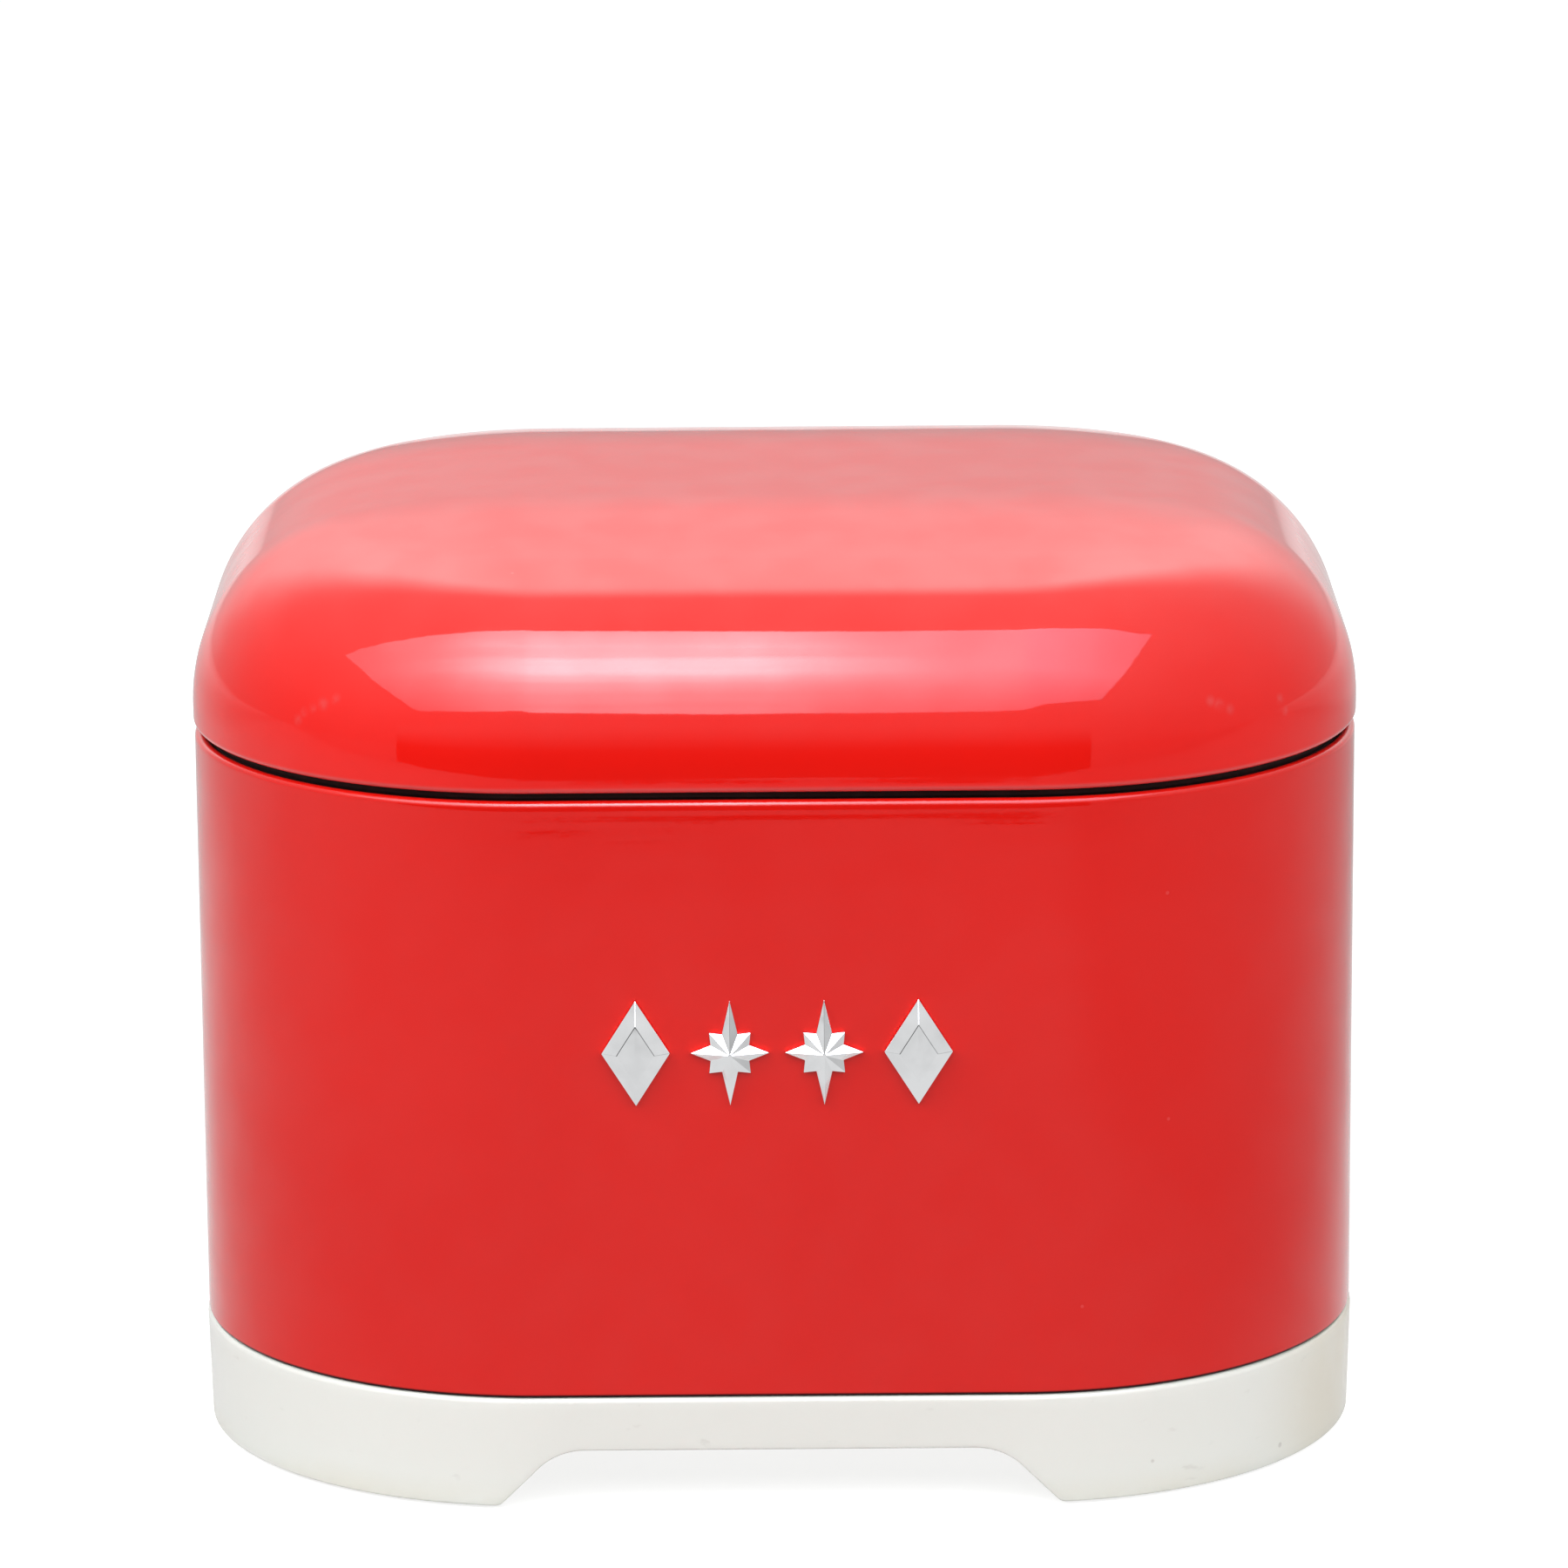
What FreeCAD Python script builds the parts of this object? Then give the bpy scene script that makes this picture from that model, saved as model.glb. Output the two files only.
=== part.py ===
# Domed cake tin: a straight steel body on an arched plinth, with a lift-off domed lid.
# Millimetres, Z up, front at -Y, origin on the floor under the middle of the tin.
import FreeCAD
import Part
import Sketcher
import math
import os

LEFT = 1
RIGHT = -1
MITRE = math.tan(math.radians(22.5))
DIAGONAL = math.sqrt(0.5)
SIDES = (-1, 1)

SIZES = [
    ("body_width", 285.0, "body across, left to right"),
    ("body_depth", 230.0, "body across, front to back"),
    ("corner_radius", 85.0, "plan corners of the body"),
    ("body_height", 147.25, "wall from the plinth to the rim"),
    ("steel", 0.6, "sheet of the body and lid"),
    ("foot_stand", 0.8, "plinth edge above the floor"),
    ("plinth_height", 27.5, "plinth edge to plinth shoulder"),
    ("plinth_proud", 0.3, "plinth shoulder beyond the body"),
    ("plinth_draft", 0.7, "plinth wall leaning in at its lower edge"),
    ("plinth_wall", 2.6, "plinth wall thickness"),
    ("shoulder_round", 1.5, "rounding of the plinth shoulder"),
    ("shoulder_thick", 2.4, "ledge that carries the body"),
    ("spigot_height", 3.4, "ring that stands inside the body hem"),
    ("spigot_wall", 1.8, "thickness of that ring"),
    ("spigot_clearance", 0.3, "hem to ring"),
    ("arch_rise", 14.0, "height of the openings between the feet"),
    ("front_arch_half", 67.7, "half width of the front and back openings"),
    ("side_arch_half", 38.5, "half width of the side openings"),
    ("arch_top_round", 16.0, "rounding at the top of an opening"),
    ("arch_toe_round", 3.0, "rounding at the foot of an opening"),
    ("hem_depth", 4.0, "fold at the bottom of the wall"),
    ("seam_clearance", 0.15, "panel flange to the fold, each side"),
    ("curl_radius", 1.5, "rolled rim of the body"),
    ("lap_width", 6.0, "lap of the wall's back seam"),
    ("panel_bend", 1.4, "outside bend of the bottom panel"),
    ("panel_lift", 0.6, "panel underside above the fold"),
    ("panel_border", 18.0, "flat border of the bottom panel"),
    ("panel_raise", 2.0, "raised field of the bottom panel"),
    ("lid_gap", 1.85, "shadow gap between rim and lid"),
    ("lid_overhang", 0.3, "lid beyond the body at its widest"),
    ("lip_height", 3.5, "lid lip below its widest level"),
    ("lip_tuck", 0.02, "lid lip drawn in at its lower edge"),
    ("lip_round", 1.7, "bend at the lid's lower edge"),
    ("lip_flange", 5.0, "inner edge of the lid's turned-in lip"),
    ("shoulder_radius", 46.0, "lid shoulder in section"),
    ("crown_rise", 3.7, "rise of the lid top above the shoulder"),
    ("core_radius", 1.0, "plan corners of the flat centre plates"),
    ("collar_clearance", 0.6, "lid lip to collar skirt"),
    ("flange_clearance", 1.08, "bend of the lid lip to collar flange"),
    ("collar_drop", 10.55, "collar skirt below the rim"),
    ("collar_taper", 3.0, "height of the collar's lead-in"),
    ("collar_lead", 1.0, "lead-in drawn inward"),
    ("seal_clearance", 0.25, "seal above the rim"),
    ("seal_edge", 3.0, "outer edge of the seal's flat leg"),
    ("seal_wall", 1.4, "upright leg of the seal"),
    ("seal_bead", 0.6, "bead on the upright leg"),
    ("seal_drop", 6.0, "upright leg below the rim"),
    ("foot_radius", 7.0, "rubber foot"),
    ("foot_head", 1.6, "thickness of the foot's head"),
    ("foot_stem_radius", 5.0, "plug of the foot"),
    ("foot_stem", 6.5, "length of the plug"),
    ("foot_round", 0.7, "rounding under the foot"),
    ("foot_clearance", 0.5, "foot to plinth wall"),
    ("boss_rim", 1.5, "boss beyond the foot"),
    ("nose_radius", 5.6, "upper end of the boss"),
    ("bore_clearance", 0.1, "plug to boss bore"),
    ("boss_web", 4.0, "web under the screw's nut"),
    ("screw_radius", 1.95, "screw shank"),
    ("screw_hole_radius", 2.25, "hole in the web"),
    ("screw_head_radius", 4.0, "screw head"),
    ("screw_head", 2.5, "height of the screw head"),
    ("nut_side", 7.0, "square weld nut"),
    ("nut_height", 3.2, "height of the weld nut"),
    ("nut_bore_radius", 2.0, "bore of the weld nut"),
    ("badge_level", 114.3, "middle of the ornaments above the floor"),
    ("badge_pitch", 22.4, "ornament to ornament"),
    ("badge_half_height", 13.0, "half height of an ornament"),
    ("lozenge_half_width", 8.2, "half width of a lozenge"),
    ("star_half_width", 9.4, "half width of a starburst"),
    ("star_short_ray", 7.0, "slanting rays of a starburst"),
    ("star_root", 5.0, "notches of a starburst"),
    ("badge_edge", 1.2, "upright edge of an ornament"),
    ("badge_step", 2.3, "steep bevel of a lozenge"),
    ("lozenge_peak", 0.2, "nearly flat table of a lozenge"),
    ("star_peak", 2.6, "facets of a starburst"),
    ("pin_radius", 1.5, "ornament pin"),
    ("pin_half_pitch", 6.0, "half distance of an ornament's pins"),
    ("pin_length", 3.0, "pin beyond the wall's inner face"),
    ("pin_clearance", 0.15, "pin to wall hole"),
    ("push_nut_radius", 4.5, "push nut"),
    ("push_nut_thick", 0.4, "push nut thickness"),
    ("push_nut_clearance", 0.03, "pin to push nut"),
]


class Dim:
    """A length that carries its number and the formula that gives it."""

    def __init__(self, number, formula):
        self.number = float(number)
        self.formula = formula

    def __add__(self, other):
        other = as_dim(other)
        return Dim(self.number + other.number, f"({self.formula} + {other.formula})")

    def __sub__(self, other):
        other = as_dim(other)
        return Dim(self.number - other.number, f"({self.formula} - {other.formula})")

    def __mul__(self, other):
        other = as_dim(other)
        return Dim(self.number * other.number, f"({self.formula} * {other.formula})")

    def __truediv__(self, other):
        other = as_dim(other)
        return Dim(self.number / other.number, f"({self.formula} / {other.formula})")

    def __radd__(self, other):
        return as_dim(other) + self

    def __rsub__(self, other):
        return as_dim(other) - self

    def __rmul__(self, other):
        return as_dim(other) * self

    def __neg__(self):
        return self * -1.0


def as_dim(value):
    """Gives a plain number the form of a length with a formula."""
    if isinstance(value, Dim):
        return value
    return Dim(value, f"({float(value):.9f})")


doc = FreeCAD.newDocument("CakeTin")
sheet = doc.addObject("Spreadsheet::Sheet", "Sizes")
size = {}
for row, (alias, number, meaning) in enumerate(SIZES, start=1):
    sheet.set(f"A{row}", alias)
    sheet.set(f"B{row}", str(number))
    sheet.set(f"C{row}", meaning)
    sheet.setAlias(f"B{row}", alias)
    size[alias] = Dim(number, f"Sizes.{alias}")
doc.recompute()

steel = size["steel"]
half_width = size["body_width"] / 2
half_depth = size["body_depth"] / 2

# Levels above the floor.
plinth_edge = size["foot_stand"]
plinth_top = plinth_edge + size["plinth_height"]
rim = plinth_top + size["body_height"]
lid_edge = rim + size["lid_gap"]
hem_top = plinth_top + size["hem_depth"]
panel_under = hem_top + size["panel_lift"]
nut_under = panel_under - size["nut_height"]
web_under = nut_under - size["boss_web"]

# Depths inward from the body's outer face.
hem_gap = steel + 2 * size["seam_clearance"]
hem_round = steel + hem_gap / 2
hem_inner = 2 * steel + hem_gap
panel_edge = steel + size["seam_clearance"]
core_inset = size["corner_radius"] - size["core_radius"]
collar_face = size["lip_flange"] + size["collar_clearance"]
plinth_foot = size["plinth_draft"] - size["plinth_proud"]
boss_inset = plinth_foot + size["plinth_wall"] + size["foot_clearance"] + size["foot_radius"]

# Screw bosses and feet stand on the diagonals of the plan corners.
boss_reach = (size["corner_radius"] - boss_inset) * DIAGONAL
boss_x = half_width - size["corner_radius"] + boss_reach
boss_y = half_depth - size["corner_radius"] + boss_reach


def to(u, v):
    """A straight side of a loop, ending at (u, v)."""
    return (u, v, None, None)


def arc(u, v, radius, turn):
    """An arc of a loop, up to a half turn, ending at (u, v)."""
    return (u, v, radius, turn)


def at(inset, level):
    """A point of a wall section: inset from the body's outer face, height above the floor."""
    return (half_width - inset, level)


def vector(point):
    return FreeCAD.Vector(as_dim(point[0]).number, as_dim(point[1]).number, 0)


def arc_between(start, end, radius, turn):
    """The arc from start to end with this radius that turns left or right."""
    chord = end - start
    height = math.sqrt(max(radius * radius - chord.Length * chord.Length / 4, 0.0))
    sideways = FreeCAD.Vector(-chord.y, chord.x, 0).normalize()
    centre = (start + end) * 0.5 + sideways * (height * turn)
    first, last = (start, end) if turn == LEFT else (end, start)
    angles = [math.atan2(p.y - centre.y, p.x - centre.x) for p in (first, last)]
    if angles[1] <= angles[0]:
        angles[1] += 2 * math.pi
    circle = Part.Circle(centre, FreeCAD.Vector(0, 0, 1), radius)
    return Part.ArcOfCircle(circle, angles[0], angles[1])


def bind(sketch, constraint, length):
    """Adds a constraint and ties its value to the length's formula."""
    index = sketch.addConstraint(constraint)
    sketch.setExpression(f"Constraints[{index}]", length.formula)


def pin_point(sketch, geometry, end, point):
    """Fixes a point of the sketch by its two distances from the sketch origin."""
    for value, kind, axis in ((point[0], "DistanceX", -2), (point[1], "DistanceY", -1)):
        if isinstance(value, Dim):
            measure = Sketcher.Constraint(kind, -1, 1, geometry, end, value.number)
            bind(sketch, measure, value)
        else:
            sketch.addConstraint(Sketcher.Constraint("PointOnObject", geometry, end, axis))


def draw_loop(sketch, sides):
    """Draws a closed loop of lines and arcs; it starts where its last side ends."""
    ends = []
    start = vector(sides[-1])
    for side in sides:
        finish = vector(side)
        radius, turn = side[2], side[3]
        if radius is None:
            index = sketch.addGeometry(Part.LineSegment(start, finish), False)
        else:
            index = sketch.addGeometry(arc_between(start, finish, radius.number, turn), False)
        ends.append((index, (2, 1) if turn == RIGHT else (1, 2)))
        start = finish
    for place, (index, (first, last)) in enumerate(ends):
        following, (following_first, _) = ends[(place + 1) % len(ends)]
        joint = Sketcher.Constraint("Coincident", index, last, following, following_first)
        sketch.addConstraint(joint)
        pin_point(sketch, index, last, sides[place])
        if sides[place][2] is not None:
            radius = sides[place][2]
            bind(sketch, Sketcher.Constraint("Radius", index, radius.number), radius)


def draw_circle(sketch, centre, radius):
    """Draws a circle whose middle and radius follow their formulas."""
    circle = Part.Circle(vector(centre), FreeCAD.Vector(0, 0, 1), radius.number)
    index = sketch.addGeometry(circle, False)
    pin_point(sketch, index, 3, centre)
    bind(sketch, Sketcher.Constraint("Radius", index, radius.number), radius)


def new_body(label):
    body = doc.addObject("PartDesign::Body", label)
    body.Label = label
    return body


def place(body, x, y, z):
    """Ties the body's position to formulas."""
    for axis, value in zip("xyz", (x, y, z)):
        body.setExpression(f"Placement.Base.{axis}", as_dim(value).formula)


def new_sketch(body, name, plane, offset=None):
    """A sketch on one of the body's own origin planes, moved along its normal."""
    support = [item for item in body.Origin.OriginFeatures if item.Role == plane][0]
    sketch = body.newObject("Sketcher::SketchObject", name)
    sketch.AttachmentSupport = [(support, "")]
    sketch.MapMode = "FlatFace"
    if offset is not None:
        sketch.setExpression("AttachmentOffset.Base.z", offset.formula)
    return sketch


def add_pad(body, name, sketch, length, reverse=False):
    pad = body.newObject("PartDesign::Pad", name)
    pad.Profile = sketch
    pad.setExpression("Length", length.formula)
    pad.Reversed = reverse
    sketch.Visibility = False
    return pad


def add_pocket(body, name, sketch, length, reverse=False):
    pocket = body.newObject("PartDesign::Pocket", name)
    pocket.Profile = sketch
    pocket.setExpression("Length", length.formula)
    pocket.Reversed = reverse
    sketch.Visibility = False
    return pocket


def add_through_pocket(body, name, sketch):
    """Cuts the sketch through the whole body, both ways."""
    pocket = body.newObject("PartDesign::Pocket", name)
    pocket.Profile = sketch
    pocket.Type = "ThroughAll"
    pocket.Midplane = True
    sketch.Visibility = False
    return pocket


def add_turning(body, name, sides):
    """Turns a half section, drawn beside the Z axis, through a full turn."""
    sketch = new_sketch(body, f"{name}_section", "XZ_Plane")
    draw_loop(sketch, sides)
    turning = body.newObject("PartDesign::Revolution", name)
    turning.Profile = sketch
    turning.ReferenceAxis = (sketch, ["V_Axis"])
    turning.Angle = 360
    sketch.Visibility = False
    return turning


def draw_outline(sketch, inset):
    """The tin's rounded-rectangle plan, drawn in by the inset."""
    across = half_width - inset
    along = half_depth - inset
    radius = size["corner_radius"] - inset
    x = across - radius
    y = along - radius
    draw_loop(sketch, [
        to(across, y),
        arc(x, along, radius, LEFT),
        to(-x, along),
        arc(-across, y, radius, LEFT),
        to(-across, -y),
        arc(-x, -along, radius, LEFT),
        to(x, -along),
        arc(across, -y, radius, LEFT),
        to(across, 0),
    ])


def add_ring(body, name, sides, level):
    """Carries a wall section once round the tin's plan."""
    path = new_sketch(body, f"{name}_path", "XY_Plane", level)
    draw_outline(path, as_dim(0.0))
    section = new_sketch(body, f"{name}_section", "XZ_Plane")
    draw_loop(section, sides)
    ring = body.newObject("PartDesign::AdditivePipe", name)
    ring.Profile = section
    ring.Spine = path
    ring.Mode = "Frenet"
    path.Visibility = False
    section.Visibility = False
    return ring


def add_plate(body, name, inset, level, thickness):
    """A flat plate with the tin's plan, its underside at the level."""
    sketch = new_sketch(body, f"{name}_plan", "XY_Plane", level)
    draw_outline(sketch, inset)
    return add_pad(body, name, sketch, thickness)


def make_lid_shell():
    """Domed lid: turned-in lip, rounded shoulder and a low crown with a flat middle."""
    body = new_body("lid_shell")
    overhang = size["lid_overhang"]
    tuck = size["lip_tuck"]
    drop = size["lip_height"]
    bend = size["lip_round"]
    shoulder = size["shoulder_radius"]
    rise = size["crown_rise"]

    lip_radius = (drop * drop + tuck * tuck) / (2 * tuck)
    lip_inset = tuck - overhang
    bend_inset = lip_inset + bend * (lip_radius - tuck) / lip_radius
    widest = lid_edge + drop + bend - bend * drop / lip_radius
    bend_level = lid_edge + bend
    lip_level = widest - drop
    top = widest + shoulder + rise

    run = core_inset - shoulder + overhang
    crown = (run * run + 2 * shoulder * rise + rise * rise) / (2 * rise)
    lean = run / (crown - shoulder)
    upright = (crown - shoulder - rise) / (crown - shoulder)

    def lip_end(depth):
        """Lower end of the lip arc, this far inside the outer face."""
        reach = (bend - depth) / bend
        return at(bend_inset - (bend_inset - lip_inset) * reach,
                  bend_level - (bend_level - lip_level) * reach)

    def crown_end(depth):
        """Where shoulder and crown meet, this far inside the outer face."""
        return at(core_inset - (crown - depth) * lean,
                  top - crown + (crown - depth) * upright)

    add_ring(body, "lid_dome", [
        to(*at(bend_inset, lid_edge)),
        arc(*lip_end(as_dim(0.0)), bend, LEFT),
        arc(*at(-overhang, widest), lip_radius, LEFT),
        arc(*crown_end(as_dim(0.0)), shoulder, LEFT),
        arc(*at(core_inset, top), crown, LEFT),
        to(*at(core_inset, top - steel)),
        arc(*crown_end(steel), crown - steel, RIGHT),
        arc(*at(steel - overhang, widest), shoulder - steel, RIGHT),
        arc(*lip_end(steel), lip_radius - steel, RIGHT),
        arc(*at(bend_inset, lid_edge + steel), bend - steel, RIGHT),
        to(*at(size["lip_flange"], lid_edge + steel)),
        to(*at(size["lip_flange"], lid_edge)),
    ], lid_edge)
    add_plate(body, "lid_middle", core_inset, top - steel, steel)
    return body


def make_lid_collar():
    """Locating collar: a flange on the lid's lip and a skirt that drops inside the body."""
    body = new_body("lid_collar")
    flange_under = lid_edge + steel
    flange_edge = size["lip_tuck"] + size["lip_round"] + size["flange_clearance"]
    bend = 2 * steel
    taper_level = rim - size["collar_drop"] + size["collar_taper"]
    lead = size["collar_lead"]
    add_ring(body, "collar", [
        to(*at(flange_edge, flange_under)),
        to(*at(flange_edge, flange_under + steel)),
        to(*at(collar_face - bend + steel, flange_under + steel)),
        arc(*at(collar_face + steel, flange_under + steel - bend), bend, RIGHT),
        to(*at(collar_face + steel, taper_level)),
        to(*at(collar_face + steel + lead, rim - size["collar_drop"])),
        to(*at(collar_face + lead, rim - size["collar_drop"])),
        to(*at(collar_face, taper_level)),
        to(*at(collar_face, flange_under + steel - bend)),
        arc(*at(collar_face - bend + steel, flange_under), bend - steel, LEFT),
    ], lid_edge)
    return body


def make_lid_seal():
    """Rubber seal: a flat leg between lip and rim, an upright leg beaded towards the rim."""
    body = new_body("lid_seal")
    upright = collar_face - size["seal_wall"]
    bead = size["seal_bead"]
    bead_level = rim - size["curl_radius"]
    leg_under = rim + size["seal_clearance"]
    add_ring(body, "seal", [
        to(*at(collar_face, lid_edge)),
        to(*at(size["seal_edge"], lid_edge)),
        to(*at(size["seal_edge"], leg_under)),
        to(*at(upright, leg_under)),
        to(*at(upright, bead_level + bead)),
        arc(*at(upright - bead, bead_level), bead, RIGHT),
        arc(*at(upright, bead_level - bead), bead, RIGHT),
        to(*at(upright, rim - size["seal_drop"])),
        to(*at(collar_face, rim - size["seal_drop"])),
    ], lid_edge)
    return body


def badge_places():
    """Middles of the four ornaments along the front, left to right."""
    return [size["badge_pitch"] * step for step in (-1.5, -0.5, 0.5, 1.5)]


def make_body_wall():
    """Body wall: rolled rim, folded hem, lapped back seam and holes for the ornament pins."""
    body = new_body("body_wall")
    curl = size["curl_radius"]
    inner_curl = curl - steel
    inner_hem = hem_gap / 2
    hem_level = plinth_top + hem_round
    add_ring(body, "wall", [
        to(*at(as_dim(0.0), rim - curl)),
        arc(*at(curl, rim), curl, LEFT),
        arc(*at(2 * curl, rim - curl), curl, LEFT),
        arc(*at(curl, rim - 2 * curl), curl, LEFT),
        to(*at(curl, rim - 2 * curl + steel)),
        arc(*at(2 * curl - steel, rim - curl), inner_curl, RIGHT),
        arc(*at(curl, rim - steel), inner_curl, RIGHT),
        arc(*at(steel, rim - curl), inner_curl, RIGHT),
        to(*at(steel, hem_level)),
        arc(*at(steel + inner_hem, plinth_top + steel), inner_hem, RIGHT),
        arc(*at(steel + hem_gap, hem_level), inner_hem, RIGHT),
        to(*at(steel + hem_gap, hem_top)),
        to(*at(hem_inner, hem_top)),
        to(*at(hem_inner, hem_level)),
        arc(*at(hem_round, plinth_top), hem_round, LEFT),
        arc(*at(as_dim(0.0), hem_level), hem_round, LEFT),
    ], plinth_top)

    lap_foot = panel_under + 2 * steel
    lap = new_sketch(body, "lap_plan", "XY_Plane", lap_foot)
    reach = size["lap_width"] / 2
    draw_loop(lap, [
        to(reach, half_depth - 2 * steel),
        to(reach, half_depth - steel / 2),
        to(-reach, half_depth - steel / 2),
        to(-reach, half_depth - 2 * steel),
    ])
    add_pad(body, "lap", lap, rim - 2 * curl - steel - lap_foot)

    holes = new_sketch(body, "pin_hole_plan", "XZ_Plane", half_depth + steel)
    for middle in badge_places():
        for side in SIDES:
            level = size["badge_level"] + size["pin_half_pitch"] * side
            draw_circle(holes, (middle, level), size["pin_radius"] + size["pin_clearance"])
    add_pocket(body, "pin_holes", holes, 3 * steel)
    return body


def make_body_bottom():
    """Bottom panel: a flange held in the hem, a flat border and a raised field."""
    body = new_body("body_bottom")
    bend = size["panel_bend"]
    border = size["panel_border"]
    field = panel_under + size["panel_raise"]
    slope_end = border + size["panel_raise"]
    bend_level = panel_under + steel - bend
    flange_foot = plinth_top + hem_round
    add_ring(body, "panel_border_ring", [
        to(*at(panel_edge, bend_level)),
        arc(*at(panel_edge + bend, panel_under + steel), bend, LEFT),
        to(*at(border - steel * MITRE, panel_under + steel)),
        to(*at(slope_end - steel * MITRE, field + steel)),
        to(*at(core_inset, field + steel)),
        to(*at(core_inset, field)),
        to(*at(slope_end, field)),
        to(*at(border, panel_under)),
        to(*at(panel_edge + bend, panel_under)),
        arc(*at(panel_edge + steel, bend_level), bend - steel, RIGHT),
        to(*at(panel_edge + steel, flange_foot)),
        to(*at(panel_edge, flange_foot)),
    ], plinth_top)
    add_plate(body, "panel_field", core_inset, field, steel)
    return body


def draw_bosses(sketch, radius):
    for side_x in SIDES:
        for side_y in SIDES:
            draw_circle(sketch, (boss_x * side_x, boss_y * side_y), radius)


def draw_arch(sketch, half):
    """Opening between two feet: 45 degree ends, rounded at top and toe, open below."""
    rise = size["arch_rise"]
    top_tangent = size["arch_top_round"] * MITRE
    toe_tangent = size["arch_toe_round"] * MITRE
    top = plinth_edge + rise
    below = plinth_edge - size["foot_stand"]
    flat_end = half - rise - top_tangent
    slope_top = (half - rise + top_tangent * DIAGONAL, top - top_tangent * DIAGONAL)
    slope_toe = (half - toe_tangent * DIAGONAL, plinth_edge + toe_tangent * DIAGONAL)
    toe_end = half + toe_tangent
    draw_loop(sketch, [
        to(toe_end, below),
        to(toe_end, plinth_edge),
        arc(*slope_toe, size["arch_toe_round"], RIGHT),
        to(*slope_top),
        arc(flat_end, top, size["arch_top_round"], LEFT),
        to(-flat_end, top),
        arc(-slope_top[0], slope_top[1], size["arch_top_round"], LEFT),
        to(-slope_toe[0], slope_toe[1]),
        arc(-toe_end, plinth_edge, size["arch_toe_round"], RIGHT),
        to(-toe_end, below),
    ])


def make_plinth():
    """Moulded plinth: arched wall, ledge and ring for the body, four screw bosses."""
    body = new_body("plinth")
    proud = size["plinth_proud"]
    rounding = size["shoulder_round"]
    ledge_under = plinth_top - size["shoulder_thick"]
    spigot_face = hem_inner + size["spigot_clearance"]
    spigot_inner = spigot_face + size["spigot_wall"]
    spigot_top = plinth_top + size["spigot_height"]
    wall = size["plinth_wall"]
    add_ring(body, "plinth_wall_ring", [
        to(*at(-proud, plinth_top - rounding)),
        arc(*at(rounding - proud, plinth_top), rounding, LEFT),
        to(*at(spigot_face, plinth_top)),
        to(*at(spigot_face, spigot_top)),
        to(*at(spigot_inner, spigot_top)),
        to(*at(spigot_inner, ledge_under)),
        to(*at(wall - proud, ledge_under)),
        to(*at(wall + plinth_foot, plinth_edge)),
        to(*at(plinth_foot, plinth_edge)),
    ], plinth_edge)

    for name, plane, half in (("front_arch", "XZ_Plane", size["front_arch_half"]),
                              ("side_arch", "YZ_Plane", size["side_arch_half"])):
        opening = new_sketch(body, f"{name}_outline", plane)
        draw_arch(opening, half)
        add_through_pocket(body, name, opening)

    boss_foot = size["foot_head"]
    posts = new_sketch(body, "boss_plan", "XY_Plane", boss_foot)
    draw_bosses(posts, size["foot_radius"] + size["boss_rim"])
    add_pad(body, "bosses", posts, ledge_under + size["shoulder_thick"] / 2 - boss_foot)

    noses = new_sketch(body, "nose_plan", "XY_Plane", ledge_under)
    draw_bosses(noses, size["nose_radius"])
    add_pad(body, "noses", noses, nut_under - ledge_under)

    bores = new_sketch(body, "bore_plan", "XY_Plane", boss_foot)
    draw_bosses(bores, size["foot_stem_radius"] + size["bore_clearance"])
    add_pocket(body, "bores", bores, web_under - boss_foot, reverse=True)

    holes = new_sketch(body, "screw_hole_plan", "XY_Plane", web_under)
    draw_bosses(holes, size["screw_hole_radius"])
    add_pocket(body, "screw_holes", holes, 2 * size["boss_web"], reverse=True)
    return body


def make_foot(label, side_x, side_y):
    """Rubber foot: a rounded head under the plinth and a plug in the boss."""
    body = new_body(label)
    radius = size["foot_radius"]
    rounding = size["foot_round"]
    head = size["foot_head"]
    stem = size["foot_stem_radius"]
    add_turning(body, "foot", [
        to(radius - rounding, 0),
        arc(radius, rounding, rounding, LEFT),
        to(radius, head),
        to(stem, head),
        to(stem, head + size["foot_stem"]),
        to(0, head + size["foot_stem"]),
        to(0, 0),
    ])
    place(body, boss_x * side_x, boss_y * side_y, 0.0)
    return body


def make_screw(label, side_x, side_y):
    """Screw from below: a rounded head under the web and a shank in the weld nut."""
    body = new_body(label)
    head = size["screw_head_radius"]
    shank = size["screw_radius"]
    head_under = web_under - size["screw_head"]
    crown = size["screw_head"] / 2
    add_turning(body, "screw", [
        to(head - crown, head_under),
        arc(head, head_under + crown, crown, LEFT),
        to(head, web_under),
        to(shank, web_under),
        to(shank, panel_under - steel),
        to(0, panel_under - steel),
        to(0, head_under),
    ])
    place(body, boss_x * side_x, boss_y * side_y, 0.0)
    return body


def make_weld_nut(label, side_x, side_y):
    """Square nut welded under the bottom panel."""
    body = new_body(label)
    half = size["nut_side"] / 2
    plan = new_sketch(body, "nut_plan", "XY_Plane")
    draw_loop(plan, [to(half, half), to(-half, half), to(-half, -half), to(half, -half)])
    draw_circle(plan, (0, 0), size["nut_bore_radius"])
    add_pad(body, "nut", plan, size["nut_height"])
    place(body, boss_x * side_x, boss_y * side_y, nut_under)
    return body


def make_push_nut(label, middle, side):
    """Spring washer pressed on an ornament pin, flat against the wall's inner face."""
    body = new_body(label)
    plan = new_sketch(body, "washer_plan", "XZ_Plane")
    draw_circle(plan, (0, 0), size["push_nut_radius"])
    draw_circle(plan, (0, 0), size["pin_radius"] + size["push_nut_clearance"])
    add_pad(body, "washer", plan, size["push_nut_thick"], reverse=True)
    place(body, middle, steel - half_depth, size["badge_level"] + size["pin_half_pitch"] * side)
    return body


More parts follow.
